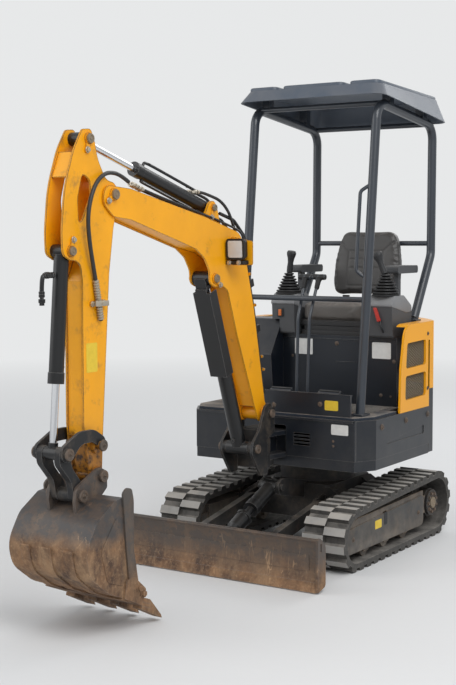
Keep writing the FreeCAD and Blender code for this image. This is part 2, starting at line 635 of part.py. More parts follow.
def barrel(kind, pin_r):
    """Barrel with its base eye, welded ports and gland."""
    frame, _, size = cylinder_frame(kind)
    r, bore = size["barrel"], size["barrel"] - 6.0
    tube = rod_z((0, 0), r, size["eye"] * 0.5, size["length"] - 30.0)
    gland = rod_z((0, 0), r + 3.0, size["length"] - 44.0, size["length"])
    eye = rod_x((0, 0), size["eye"], -size["base_half"], size["base_half"])
    near, far = size["eye"] + 24.0, size["length"] - 66.0
    # the boom cylinder's far end runs inside its rod's guard, so it has a port at the near end only
    ports = [Part.makeCylinder(PORT_R, r + PORT_OUT, Vector(0, 0, z), Vector(0, -1, 0))
             for z in ((near,) if kind == "boom" else (near, far))]
    if kind != "boom":
        ports.append(rod_z((0, -r - PORT_OUT), LINE_R, near, far))
    body = fuse([tube, gland, eye] + ports)
    body = body.cut(rod_z((0, 0), bore, size["eye"] + 6.0, size["length"] - 30.0))
    body = body.cut(rod_z((0, 0), size["rod"] + RUN_FIT, size["length"] - 40.0, size["length"] + 1.0))
    body = body.cut(rod_x((0, 0), pin_r + RUN_FIT, -size["base_half"] - 1.0, size["base_half"] + 1.0))
    return placed(body, frame)


def rod(kind):
    """Chromed rod with its piston and its eye, which carries its own pin."""
    frame, length, size = cylinder_frame(kind)
    stem = rod_z((0, 0), size["rod"], length - size["reach"], length - size["eye"] * 0.4)
    piston = rod_z((0, 0), size["barrel"] - 6.0 - 2 * RUN_FIT, length - size["reach"], length - size["reach"] + 30.0)
    eye = rod_x((0, length), size["eye"], -size["eye_half"], size["eye_half"])
    neck = rod_z((0, 0), size["rod"] + 5.0, length - size["eye"] - 14.0, length - size["eye"] * 0.4)
    return placed(fuse([stem, piston, eye, neck]), frame)


def boom_cyl_guard():
    """Channel that shields the boom cylinder's rod, hung from the rod's eye."""
    frame, length, size = cylinder_frame("boom")
    out = size["barrel"] + 14.0
    top = length - size["eye"] - 22.0
    web = span_box((-GUARD_HALF_X, GUARD_HALF_X), (-out, -out + GUARD_PLATE), (top - GUARD_LENGTH, top))
    flange = span_box((GUARD_HALF_X - GUARD_PLATE, GUARD_HALF_X), (-out, -out + GUARD_DEPTH), (top - GUARD_LENGTH, top))
    tongue = span_box((-30.0, 30.0), (-out, -size["eye"] - SEAT), (top - 4.0, top + 18.0))
    tab = span_box((-30.0, 30.0), (-size["eye"] - SEAT - 8.0, -size["eye"] - SEAT), (top, length + 12.0))
    return placed(fuse([web, tongue, tab] + pair(flange)), frame)


# House

def house_plan(inset, rear_y=None):
    """(x, y) face of the house's plan, drawn in by an inset; round tail, chamfered front."""
    half = HOUSE_HALF_X - inset
    radius = TAIL_R - inset
    front = HOUSE_FRONT_Y + inset
    corner_x = CORNER_X - inset * 0.6
    tail_y = math.sqrt(radius * radius - half * half)
    points = [(-corner_x, front), (corner_x, front), (half, CORNER_Y + inset * 0.4), (half, tail_y)]
    left = Vector(half, tail_y, 0)
    right = Vector(-half, tail_y, 0)
    edges = [Part.LineSegment(Vector(points[i][0], points[i][1], 0), Vector(points[i + 1][0], points[i + 1][1], 0)).toShape()
             for i in range(3)]
    edges.append(Part.Arc(left, Vector(0, radius, 0), right).toShape())
    edges.append(Part.LineSegment(right, Vector(-half, CORNER_Y + inset * 0.4, 0)).toShape())
    edges.append(Part.LineSegment(Vector(-half, CORNER_Y + inset * 0.4, 0), Vector(-corner_x, front, 0)).toShape())
    return Part.Face(Part.Wire(edges))


def house_solid(inset, z0, z1):
    """The house's plan as a block between two heights."""
    face = house_plan(inset)
    face.translate(Vector(0, 0, z0))
    return face.extrude(Vector(0, 0, z1 - z0))


def deck_top_z():
    return DECK_BOTTOM_Z + DECK_BAND


def skirt_top_z():
    return deck_top_z() + SKIRT_HEIGHT


def floor_top_z():
    return skirt_top_z() + FLOOR_THICK


def tongue_z():
    """Heights of the deck's two tongues between the swing post's lugs."""
    low = POST_LUG_Z[0] + POST_LUG_THICK + SIDE_FIT
    high = POST_LUG_Z[1] - POST_LUG_THICK - SIDE_FIT
    return (low, low + 22.0), (high - 22.0, high)


def deck_frame():
    """Turntable plate with its dark lower band, ribs and the tongues for the swing post."""
    front_cut = span_box((-FAR, FAR), (-FAR, SKIRT_REAR_Y), (0, FAR))
    shell = house_solid(2.0, DECK_BOTTOM_Z, deck_top_z()).cut(
        house_solid(WALL + 2.0, DECK_BOTTOM_Z + DECK_PLATE, deck_top_z() + 1.0))
    shell = shell.common(front_cut)
    plate = house_solid(WALL, DECK_BOTTOM_Z, DECK_BOTTOM_Z + DECK_PLATE).common(front_cut)
    tail = house_solid(TAIL_WEIGHT_THICK + 4.0, DECK_BOTTOM_Z, DECK_BOTTOM_Z + DECK_PLATE)
    ribs = pair(span_box((RIB_X, RIB_X + RIB_THICK), (HOUSE_FRONT_Y + 30.0, SKIRT_REAR_Y + 60.0),
                         (DECK_BOTTOM_Z, deck_top_z() + RIB_RISE)))
    tongues = []
    for z0, z1 in tongue_z():
        tongue = plate_z([(-TONGUE_HALF_X, HOUSE_FRONT_Y + 60.0), (-TONGUE_HALF_X, HOUSE_FRONT_Y),
                          (-POST_LUG_R, POST_PIN_Y - POST_LUG_R, 44.0), (POST_LUG_R, POST_PIN_Y - POST_LUG_R, 44.0),
                          (TONGUE_HALF_X, HOUSE_FRONT_Y), (TONGUE_HALF_X, HOUSE_FRONT_Y + 60.0)], z0, z1)
        tongues.append(tongue)
    web = span_box((-6.0, 6.0), (POST_PIN_Y + POST_PIN_R + 14.0, HOUSE_FRONT_Y + 50.0), (tongue_z()[0][0], tongue_z()[1][1]))
    nose = span_box((-RIB_X - RIB_THICK, RIB_X + RIB_THICK), (HOUSE_FRONT_Y + 32.0, HOUSE_FRONT_Y + 46.0),
                    (DECK_BOTTOM_Z, tongue_z()[1][1]))
    whole = fuse([shell, plate, tail, web, nose] + ribs + tongues)
    return whole.cut(rod_z((0, POST_PIN_Y), POST_PIN_R + RUN_FIT, DECK_BOTTOM_Z, POST_LUG_Z[1]))


def skirt_shell():
    """Wall around the house between the deck's band and the floor."""
    z0, z1 = deck_top_z() + SEAT, skirt_top_z()
    return house_solid(0.0, z0, z1).cut(house_solid(WALL, z0 - 1.0, z1 + 1.0))


def front_cover():
    """Front wall with its louvre, the middle opening and a lip under the floor."""
    split = CORNER_X + 4.0
    wall = skirt_shell().common(span_box((-split, split), (-FAR, HOUSE_FRONT_Y + 60.0), (0, FAR)))
    z0, z1 = deck_top_z(), skirt_top_z()
    side = TONGUE_HALF_X + 4.0
    opening = plate_y([(-side, z0 - 10.0), (side, z0 - 10.0), (side, z1 - 44.0, 10.0), (-side, z1 - 44.0, 10.0)],
                      HOUSE_FRONT_Y - 1.0, HOUSE_FRONT_Y + WALL + 1.0)
    wall = wall.cut(opening)
    for i in range(4):
        z = z0 + 58.0 + 17.0 * i
        wall = wall.cut(span_box((122.0, 214.0), (HOUSE_FRONT_Y - 1.0, HOUSE_FRONT_Y + WALL + 1.0), (z, z + 10.0)))
    lip = span_box((-CORNER_X + 6.0, CORNER_X - 6.0), (HOUSE_FRONT_Y - 7.0, HOUSE_FRONT_Y + 1.0), (z1 - 9.0, z1))
    return fuse([wall, lip])


def side_skirt(side):
    """Side wall from the front corner to the tail weight, with a pressed recess."""
    split = CORNER_X + 4.0 + SEAT
    wall = skirt_shell().common(span_box((split, FAR), (-FAR, SKIRT_REAR_Y), (0, FAR)))
    z0 = deck_top_z()
    recess = plate_x([(-330.0, z0 + 62.0, 4.0), (190.0, z0 + 62.0, 6.0), (190.0, z0 + 108.0, 6.0)],
                     HOUSE_HALF_X - 4.0, HOUSE_HALF_X + 1.0)
    wall = wall.cut(recess)
    return wall if side > 0 else mirrored(wall)


def counterweight():
    """Cast tail weight round the rear, chamfered along its lower edge."""
    block = house_solid(1.0, DECK_BOTTOM_Z + 4.0, TAIL_WEIGHT_TOP_Z).common(
        span_box((-FAR, FAR), (SKIRT_REAR_Y + SEAT, FAR), (0, FAR)))
    inner = house_plan(1.0 + TAIL_WEIGHT_THICK)
    inner.translate(Vector(0, 0, DECK_BOTTOM_Z - 1.0))
    block = block.cut(inner.extrude(Vector(0, 0, TAIL_WEIGHT_TOP_Z)))
    low = [e for e in block.Edges if abs(e.CenterOfMass.z - DECK_BOTTOM_Z - 4.0) < 0.5
           and math.hypot(e.CenterOfMass.x, e.CenterOfMass.y) > TAIL_R - 60.0 and e.Length > 200.0]
    return block.makeChamfer(48.0, 40.0, low) if low else block


def hood_side_profile(inset):
    """(y, z) rows of the hood's side: a leaning front edge, a rounded top."""
    bottom = skirt_top_z() + 1.0 + inset
    top = HOOD_TOP_Z - inset
    behind = 700.0
    return [(HOOD_FRONT_Y + inset, bottom), (HOOD_FRONT_Y + inset + 10.0, bottom + 220.0, 60.0),
            (HOOD_FRONT_Y + inset + HOOD_LEAN, top, 80.0), (behind, top + 6.0), (behind, bottom)]


GRILLES = (  # y at the front foot, y at the front top, y at the rear, low z, high z
    (-34.0, -30.0, 210.0, 762.0, 890.0),
    (-28.0, -14.0, 208.0, 922.0, 1056.0),
)


def grille_rows(grille, inset):
    """Corner rows of one grille opening."""
    foot, top, rear, low, high = grille
    return [(foot + inset, low + inset, 16.0), (rear - inset, low + inset + 6.0, 16.0),
            (rear - inset, high - inset, 16.0), (top + inset, high - inset - 6.0, 16.0)]


def engine_hood():
    """Hood skin: both sides with grille openings and the round tail above the weight."""
    z0 = skirt_top_z() + SEAT
    skin = house_solid(0.0, z0, HOOD_TOP_Z + 10.0).cut(house_solid(HOOD_WALL, z0 - 1.0, HOOD_TOP_Z - 14.0))
    skin = skin.common(plate_x(hood_side_profile(0.0), -FAR, FAR))
    skin = skin.cut(house_solid(HOOD_LEDGE, z0, HOOD_TOP_Z + 20.0))
    weight = span_box((-FAR, FAR), (SKIRT_REAR_Y, FAR), (0, TAIL_WEIGHT_TOP_Z + SEAT))
    skin = skin.cut(weight)
    for grille in GRILLES:
        skin = skin.cut(plate_x(grille_rows(grille, 0.0), -FAR, FAR))
    return skin


def hood_grilles():
    """Slatted screens behind the hood's openings."""
    screens = []
    x0 = HOUSE_HALF_X - HOOD_WALL - SEAT - 5.0
    for grille in GRILLES:
        foot, top, rear, low, high = grille
        face = plate_x(grille_rows(grille, -8.0), x0, x0 + 5.0)
        rows = int((high - low - 16.0) // (2 * GRILLE_SLAT))
        for i in range(rows):
            z = low + 10.0 + (i + 0.25) * (high - low - 20.0) / rows
            face = face.cut(span_box((x0 - 1.0, x0 + 6.0), (max(foot, top) + 10.0, rear - 10.0), (z, z + GRILLE_SLAT)))
        screens += pair(face)
    return Part.makeCompound(screens)


def hood_top():
    """Dark cover over the engine, between the hood's sides, behind the seat."""
    z1 = HOOD_TOP_Z - 2.0
    behind = span_box((-FAR, FAR), (SEAT_BOX_FRONT_Y + SEAT_BOX_DEPTH + SEAT, FAR), (0, FAR))
    lid = house_solid(HOOD_LEDGE + SEAT, z1 - HOOD_LID_DEPTH, z1)
    hollow = house_solid(HOOD_LEDGE + SEAT + 8.0, z1 - HOOD_LID_DEPTH - 1.0, z1 - 8.0)
    hollow = hollow.common(span_box((-FAR, FAR), (SEAT_BOX_FRONT_Y + SEAT_BOX_DEPTH + 8.0, FAR), (0, FAR)))
    return lid.common(behind).cut(hollow)


def engine_block():
    """Engine as one plain block at its real place."""
    x0, x1, y0, y1, z0, z1 = ENGINE
    block = span_box((x0, x1), (y0, y1), (z0, z1))
    feet = [span_box((x, x + 60.0), (y0 + 30.0, y1 - 30.0), (DECK_BOTTOM_Z + DECK_PLATE + SEAT, z0 + 1.0))
            for x in (x0 + 10.0, x1 - 70.0)]
    slot = span_box((RIB_X - SIDE_FIT, RIB_X + RIB_THICK + SIDE_FIT), (-600, 600), (0, deck_top_z() + RIB_RISE + SIDE_FIT))
    return fuse([block] + feet).cut(slot).cut(mirrored(slot))


def seat_box():
    """Sheet box under the seat: front wall, side walls and a top."""
    x0, x1 = STATION_X - SEAT_BOX_HALF_X + 30.0, STATION_X + SEAT_BOX_HALF_X + 24.0
    rear = SEAT_BOX_FRONT_Y + SEAT_BOX_DEPTH
    z0 = floor_top_z() + SEAT
    outer = span_box((x0, x1), (SEAT_BOX_FRONT_Y, rear), (z0, SEAT_BOX_TOP_Z))
    t = SEAT_BOX_WALL
    return outer.cut(span_box((x0 + t, x1 - t), (SEAT_BOX_FRONT_Y + t, rear + 1.0), (z0 - 1.0, SEAT_BOX_TOP_Z - t)))


def right_cover():
    """Tank cover on the machine's right, with a slanted front."""
    x0, x1 = -HOUSE_HALF_X + HOOD_LEDGE + SEAT, STATION_X - SEAT_BOX_HALF_X + 30.0 - SEAT
    z0 = floor_top_z() + SEAT
    rear = SEAT_BOX_FRONT_Y + SEAT_BOX_DEPTH
    top = RIGHT_COVER_TOP_Z
    rows = [(HOOD_FRONT_Y + 20.0, z0), (HOOD_FRONT_Y - 6.0, z0 + 250.0, 12.0), (SEAT_BOX_FRONT_Y - 10.0, top, 16.0),
            (rear, top, 6.0), (rear, z0)]
    solid = plate_x(rows, x0, x1)
    hollow = plate_x([(HOOD_FRONT_Y + 30.0, z0 - 1.0), (HOOD_FRONT_Y + 4.0, z0 + 248.0), (SEAT_BOX_FRONT_Y - 4.0, top - 10.0),
                      (rear + 1.0, top - 10.0), (rear + 1.0, z0 - 1.0)], x0 + 8.0, x1 - 8.0)
    return solid.cut(hollow)


def floor_plate():
    """Floor between the kick panel and the seat box, chamfered like the house."""
    z0 = skirt_top_z() + SEAT
    slab = house_solid(14.0, z0, floor_top_z()).common(
        span_box((-FAR, FAR), (-FAR, ENGINE[2] - 5.0), (0, FAR)))
    gap = HOOD_WALL + 2.0
    sides = pair(span_box((HOUSE_HALF_X - 63.0, FAR), (HOOD_FRONT_Y - gap, FAR), (0, FAR)))
    return slab.cut(sides[0]).cut(sides[1])


def kick_panel():
    """Upright toe board at the floor's front."""
    z0 = floor_top_z() + SEAT
    x0, x1 = STATION_X - KICK_HALF_X, STATION_X + KICK_HALF_X
    board = span_box((x0, x1), (KICK_Y, KICK_Y + 10.0), (z0, z0 + KICK_HEIGHT))
    foot = span_box((x0, x1), (KICK_Y, KICK_Y + 34.0), (z0, z0 + 6.0))
    lip = span_box((x0, x1), (KICK_Y, KICK_Y + 16.0), (z0 + KICK_HEIGHT - 8.0, z0 + KICK_HEIGHT))
    return fuse([board, foot, lip])


# Operator's station

def seat_cushion():
    """Seat cushion as one closed form."""
    low, high = CUSHION_Z
    y0, y1 = CUSHION_Y
    pad = plate_x([(y0, low, 30.0), (y1, low, 20.0), (y1, high - 20.0, 25.0), (y0 + 110.0, high, 60.0), (y0, high, 40.0)],
                  STATION_X - CUSHION_HALF_X, STATION_X + CUSHION_HALF_X)
    return pad


def seat_base():
    """Pan, feet and back brackets that carry the cushion and the backrest."""
    low, high = HOOD_TOP_Z - 2.0 + SEAT, CUSHION_Z[0] - SEAT
    pan = span_box((STATION_X - CUSHION_HALF_X + 24.0, STATION_X + CUSHION_HALF_X - 24.0),
                   (CUSHION_Y[0] + 34.0, CUSHION_Y[1] + 30.0), (low, high))
    parts = [pan]
    for side in (-1, 1):
        x = STATION_X + side * 130.0
        parts.append(span_box((x - 16.0, x + 16.0), (SEAT_BOX_FRONT_Y + 14.0, SEAT_BOX_FRONT_Y + 106.0),
                              (SEAT_BOX_TOP_Z + SEAT, high)))
        parts.append(span_box((x - 20.0, x + 20.0), (CUSHION_Y[1] + 4.0, CUSHION_Y[1] + 12.0), (low, BACK_BOTTOM_Z - SEAT)))
    return fuse(parts)


def seat_back():
    """Backrest with its two side wings."""
    z0, z1 = BACK_BOTTOM_Z, BACK_BOTTOM_Z + BACK_HEIGHT
    lean = 60.0
    half = BACK_HALF_X
    low = outline([(STATION_X - half, BACK_Y, 30.0), (STATION_X + half, BACK_Y, 30.0),
                   (STATION_X + half, BACK_Y + BACK_THICK, 40.0), (STATION_X - half, BACK_Y + BACK_THICK, 40.0)],
                  lambda u, v: Vector(u, v, z0))
    high = outline([(STATION_X - half * 0.8, BACK_Y + lean, 30.0), (STATION_X + half * 0.8, BACK_Y + lean, 30.0),
                    (STATION_X + half * 0.8, BACK_Y + lean + BACK_THICK * 0.7, 30.0),
                    (STATION_X - half * 0.8, BACK_Y + lean + BACK_THICK * 0.7, 30.0)],
                   lambda u, v: Vector(u, v, z1))
    back = Part.makeLoft([low, high], True, True)
    return back


def console(side):
    """Control console with its armrest on a stalk."""
    centre = STATION_X + side * CONSOLE_X
    x0, x1 = centre - CONSOLE_HALF, centre + CONSOLE_HALF
    y0, y1 = CONSOLE_Y
    foot_z = HOOD_TOP_Z - 2.0 + SEAT
    box_rear = SEAT_BOX_FRONT_Y + SEAT_BOX_DEPTH - 10.0
    low = SEAT_BOX_TOP_Z + SEAT
    body = plate_x([(y0 + 6.0, low, 14.0), (y0 - 4.0, 1236.0, 12.0), (y0 + 30.0, CONSOLE_TOP_Z, 14.0),
                    (y0 + 130.0, CONSOLE_TOP_Z, 30.0), (y1, CONSOLE_TOP_Z - 56.0, 16.0), (y1, foot_z), (box_rear, foot_z),
                    (box_rear, low)], x0, x1)
    if side < 0:
        cover_x = STATION_X - SEAT_BOX_HALF_X + 30.0
        body = body.cut(span_box((x0 - 1.0, cover_x), (y0 - 50.0, y1 + 50.0), (low - 50.0, RIGHT_COVER_TOP_Z + SEAT)))
    stalk = span_box((centre - 14.0, centre + 14.0), (170.0, 200.0), (1200.0, 1400.0))
    rest = plate_x([(110.0, 1396.0, 14.0), (350.0, 1396.0, 14.0), (350.0, 1436.0, 16.0), (110.0, 1436.0, 16.0)],
                   centre - 42.0, centre + 42.0)
    return fuse([body, stalk, rest])


def joysticks():
    """Two levers with ribbed boots."""
    sticks = []
    for side in (-1, 1):
        x, y = STATION_X + side * CONSOLE_X, CONSOLE_Y[0] + 62.0
        base = CONSOLE_TOP_Z + SEAT
        boot = Part.makeCone(62.0, 20.0, 96.0, Vector(x, y, base), Vector(0, 0, 1))
        stem = rod_z((x, y), 8.0, base + 90.0, STICK_TOP_Z - 96.0)
        grip = Part.makeCone(16.0, 13.0, 90.0, Vector(x, y, STICK_TOP_Z - 100.0), Vector(-0.12 * side, -0.05, 1))
        knob = Part.makeSphere(20.0, Vector(x - 10.0 * side, y - 5.0, STICK_TOP_Z - 12.0))
        sticks.append(fuse([boot, stem, grip, knob]))
    return Part.makeCompound(sticks)


def floor_controls():
    """Travel levers with T handles and their foot pedals on one plinth."""
    z0 = floor_top_z() + SEAT
    parts = [span_box((STATION_X - 70.0, STATION_X + 70.0), (-345.0, -265.0), (z0, z0 + 50.0))]
    for side in (-1, 1):
        foot = Vector(STATION_X + side * 31.0, -312.0, z0 + 20.0)
        knee = Vector(STATION_X + side * 33.0, -292.0, 1180.0)
        top = Vector(STATION_X + side * 38.0, -205.0, 1385.0)
        parts.append(pipe([foot, knee, top], 8.0, [120.0]))
        parts.append(rod_x((top.y, top.z), 14.0, top.x - 36.0 + side * 2.0, top.x + 36.0 + side * 2.0))
        link = span_box(sorted((STATION_X + side * 60.0, STATION_X + side * 150.0)), (-318.0, -302.0), (z0 + 20.0, z0 + 36.0))
        pedal = plate_x([(-370.0, z0 + 30.0, 4.0), (-262.0, z0 + 96.0, 4.0), (-266.0, z0 + 106.0, 4.0), (-374.0, z0 + 40.0, 4.0)],
                        STATION_X + side * 140.0 - 60.0, STATION_X + side * 140.0 + 60.0)
        stem = span_box((STATION_X + side * 140.0 - 8.0, STATION_X + side * 140.0 + 8.0), (-324.0, -300.0), (z0, z0 + 72.0))
        parts += [link, pedal, stem]
    return fuse(parts)


# Canopy

def post_y(z):
    """Where the front post stands at a height."""
    z0 = floor_top_z()
    return POST_FOOT_Y + (POST_TOP[0] - POST_FOOT_Y) * (z - z0) / (POST_TOP[1] - z0)


def ceiling_z(y):
    """Height of the roof's inner top face."""
    front = ROOF_FRONT_Y + ROOF_WALL + ROOF_INSET * ROOF_SLANT
    rear = ROOF_REAR_Y - ROOF_WALL - ROOF_INSET * ROOF_SLANT
    return ROOF_TOP_FRONT_Z - ROOF_WALL + (ROOF_TOP_REAR_Z - ROOF_TOP_FRONT_Z) * (y - front) / (rear - front)


def canopy_frame():
    """Two bent side tubes, cross tubes, foot plates and the grab rail."""
    z0 = floor_top_z() + SEAT
    tubes = []
    for side in (-1, 1):
        x = STATION_X + side * POST_X
        route = [(x, POST_FOOT_Y, z0), (x, POST_TOP[0], POST_TOP[1]), (x, REAR_TOP[0], REAR_TOP[1]),
                 (x, REAR_KNEE[0], REAR_KNEE[1]), (x, REAR_FOOT[0], REAR_FOOT[1])]
        tubes.append(pipe(route, POST_R, [POST_BEND_R, POST_BEND_R, POST_BEND_R]))
        tubes.append(span_box((x - 34.0, x + 34.0), (POST_FOOT_Y - 40.0, POST_FOOT_Y + 40.0), (z0, z0 + 10.0)))
        foot = span_box((x - 30.0, x + 30.0), (REAR_FOOT[0] - 40.0, REAR_FOOT[0] + 20.0),
                        (HOOD_TOP_Z - 2.0 + SEAT, HOOD_TOP_Z + 10.0))
        stub = rod_z((x, REAR_FOOT[0]), POST_R, HOOD_TOP_Z, REAR_FOOT[1] + 4.0)
        tubes += [foot, stub]
    x0, x1 = STATION_X - POST_X, STATION_X + POST_X
    bars = [(post_y(CROSSBAR_Z), CROSSBAR_Z), (POST_TOP[0] + 40.0, POST_TOP[1] - 6.0),
            (REAR_TOP[0] - 40.0, REAR_TOP[1] + 6.0), (REAR_KNEE[0], REAR_KNEE[1] + 60.0)]
    for y, z in bars:
        tubes.append(rod_x((y, z), CROSSBAR_R, x0, x1))
    rail_x = x1 - 52.0
    rail = pipe([(x1, post_y(1850.0), 1850.0), (rail_x, post_y(1810.0) - 26.0, 1810.0), (rail_x, post_y(1420.0) - 26.0, 1420.0),
                 (x1, post_y(1380.0), 1380.0)], 9.0, [30.0, 30.0])
    slope = (REAR_TOP[1] - POST_TOP[1]) / (REAR_TOP[0] - POST_TOP[0])
    for x in (x0, x1):
        for y in ROOF_PAD_YS:
            y0, y1 = y - ROOF_PAD / 2, y + ROOF_PAD / 2
            tube_z = POST_TOP[1] + slope * (y - POST_TOP[0])
            tubes.append(plate_x([(y0, tube_z), (y1, tube_z), (y1, ceiling_z(y1) - SEAT), (y0, ceiling_z(y0) - SEAT)],
                                 x - ROOF_PAD / 2, x + ROOF_PAD / 2))
    below = span_box((x0 - 100.0, x1 + 100.0), (POST_FOOT_Y - 100.0, POST_FOOT_Y + 100.0), (z0 - 60.0, z0))
    return fuse(tubes + [rail]).cut(below)


def roof_section(inset, drop, lift):
    """Rounded rectangle of the roof: drop is 0 at the lower edge, 1 at the top."""
    half = ROOF_HALF_X - inset - ROOF_INSET * drop
    front = ROOF_FRONT_Y + inset + ROOF_INSET * ROOF_SLANT * drop
    rear = ROOF_REAR_Y - inset - ROOF_INSET * ROOF_SLANT * drop
    z_front = ROOF_FRONT_Z + (ROOF_TOP_FRONT_Z - ROOF_FRONT_Z) * drop + lift
    z_rear = ROOF_REAR_Z + (ROOF_TOP_REAR_Z - ROOF_REAR_Z) * drop + lift

    def place(u, v):
        share = (v - front) / (rear - front)
        return Vector(STATION_X + u, v, z_front + (z_rear - z_front) * share)
    radius = 60.0 - inset
    return outline([(-half, front, radius), (half, front, radius), (half, rear, radius), (-half, rear, radius)], place)


def canopy_roof():
    """Moulded roof: a tapering shell, open below, with raised panels on top."""
    outer = Part.makeLoft([roof_section(0.0, 0.0, 0.0), roof_section(0.0, 1.0, 0.0)], True, True)
    inner = Part.makeLoft([roof_section(ROOF_WALL, 0.0, -2.0), roof_section(ROOF_WALL, 1.0, -ROOF_WALL)], True, True)
    shell = outer.cut(inner)
    return shell


# Working gear

def swing_bracket():
    """Swing post: two cheeks, a back block, lugs and the upright pin."""
    cheek = plate_x([(FOOT[0] - 46.0, FOOT[1] + 34.0, 28.0), (FOOT[0] - 4.0, FOOT[1] + 56.0, 28.0), (FOOT[0] + 44.0, FOOT[1] + 20.0, 30.0),
                     (FOOT[0] + 40.0, FOOT[1] - 96.0, 8.0), (FOOT[0] - 23.0, FOOT[1] - 118.0, 10.0), (FOOT[0] - 23.0, FOOT[1] - 292.0, 6.0),
                     (FOOT[0] - 84.0, FOOT[1] - 292.0, 6.0), (BOOM_CYL_BASE[0] - 36.0, BOOM_CYL_BASE[1] - 20.0, 30.0),
                     (BOOM_CYL_BASE[0] - 24.0, BOOM_CYL_BASE[1] + 32.0, 24.0), (FOOT[0] - 96.0, FOOT[1] - 71.0, 60.0)],
                    CHEEK_INNER_X, CHEEK_INNER_X + CHEEK_THICK)
    block = span_box((-CHEEK_INNER_X - 1.0, CHEEK_INNER_X + 1.0), (FOOT[0] - 23.0, FOOT[0] + 20.0), (POST_LUG_Z[0], POST_LUG_Z[1] - 6.0))
    lugs = []
    for z0, z1 in ((POST_LUG_Z[0], POST_LUG_Z[0] + POST_LUG_THICK), (POST_LUG_Z[1] - POST_LUG_THICK, POST_LUG_Z[1])):
        lugs.append(plate_z([(-70.0, FOOT[0] - 10.0), (-POST_LUG_R, POST_PIN_Y + POST_LUG_R, 44.0),
                             (POST_LUG_R, POST_PIN_Y + POST_LUG_R, 44.0), (70.0, FOOT[0] - 10.0)], z0, z1))
    post = rod_z((0, POST_PIN_Y), POST_PIN_R, POST_LUG_Z[0] + 2.0, POST_LUG_Z[1] + 8.0)
    # the block stays clear of the deck's tongues, which swing past its rear
    block = block.cut(rod_z((0, POST_PIN_Y), POST_LUG_R + 14.0, POST_LUG_Z[0] + POST_LUG_THICK, POST_LUG_Z[1] - POST_LUG_THICK))
    foot_pin = rod_x(FOOT, BOOM_PIN_R, -CHEEK_INNER_X - CHEEK_THICK - 10.0, CHEEK_INNER_X + CHEEK_THICK + 10.0)
    base_pin = rod_x(BOOM_CYL_BASE, BOOM_PIN_R, -CHEEK_INNER_X - CHEEK_THICK - 8.0, CHEEK_INNER_X + CHEEK_THICK + 8.0)
    collars = pair(rod_x(BOOM_CYL_BASE, 30.0, CYLINDERS["boom"]["base_half"] + SIDE_FIT, CHEEK_INNER_X + 1.0))
    return fuse(pair(cheek) + [block, post, foot_pin, base_pin] + lugs + collars)


def boom_rows():
    """(y, z, radius) rows of the boom's side plates."""
    f, a, e = FOOT, ARM_PIVOT, BOOM_CYL_EYE
    return [
        (a[0] - 52.0, a[1] + 38.0, 42.0), (a[0] + 116.0, a[1] + 26.0, 120.0), (ARM_CYL_BASE[0] - 81.0, ARM_CYL_BASE[1] - 42.0),
        (f[0] - 200.0, f[1] + 868.0, 90.0), (f[0] - 156.0, f[1] + 745.0, 300.0), (f[0] - 86.0, f[1] + 504.0),
        (f[0] + 8.0, f[1] + 60.0, 60.0), (f[0] + 38.0, f[1] + 8.0, 34.0), (f[0] + 18.0, f[1] - 42.0, 34.0),
        (f[0] - 50.0, f[1] - 36.0, 34.0), (f[0] - 147.0, f[1] + 189.0), (f[0] - 240.0, f[1] + 404.0),
        (e[0] + 108.0, e[1] - 57.0, 40.0), (e[0] + 53.0, e[1] - 31.0, 20.0), (e[0] + 5.0, e[1] - 40.0, 30.0),
        (e[0] - 40.0, e[1] - 22.0, 32.0), (e[0] - 42.0, e[1] + 36.0, 60.0), (e[0] - 84.0, e[1] + 96.0, 60.0),
        (e[0] - 150.0, e[1] + 136.0), (a[0] + 114.0, a[1] - 101.0), (a[0] + 2.0, a[1] - 91.0, 50.0), (a[0] - 68.0, a[1] - 34.0, 46.0)]


def boom_core_rows(t):
    """Rows of the box between the side plates, drawn in by a wall."""
    f, a, e = FOOT, ARM_PIVOT, BOOM_CYL_EYE
    fork = a[0] + 118.0
    return [
        (fork + t, a[1] + 22.0 - t), (ARM_CYL_BASE[0] - 81.0, ARM_CYL_BASE[1] - 46.0 - t),
        (f[0] - 203.0 - t, f[1] + 862.0 - t, 84.0), (f[0] - 160.0 - t, f[1] + 745.0, 300.0), (f[0] - 90.0 - t, f[1] + 504.0),
        (f[0] - 8.0 - t, f[1] + 70.0 + t), (f[0] - 50.0 + t, f[1] + 34.0 + t), (f[0] - 120.0 + t, f[1] + 189.0), (f[0] - 206.0 + t, f[1] + 404.0),
        (e[0] + 138.0 + t, e[1] - 40.0), (e[0] + 116.0 + t, e[1] + 60.0 + t), (e[0] - 10.0, e[1] + 118.0 + t),
        (e[0] - 146.0, e[1] + 142.0 + t), (fork + t, a[1] - 92.0 + t)]


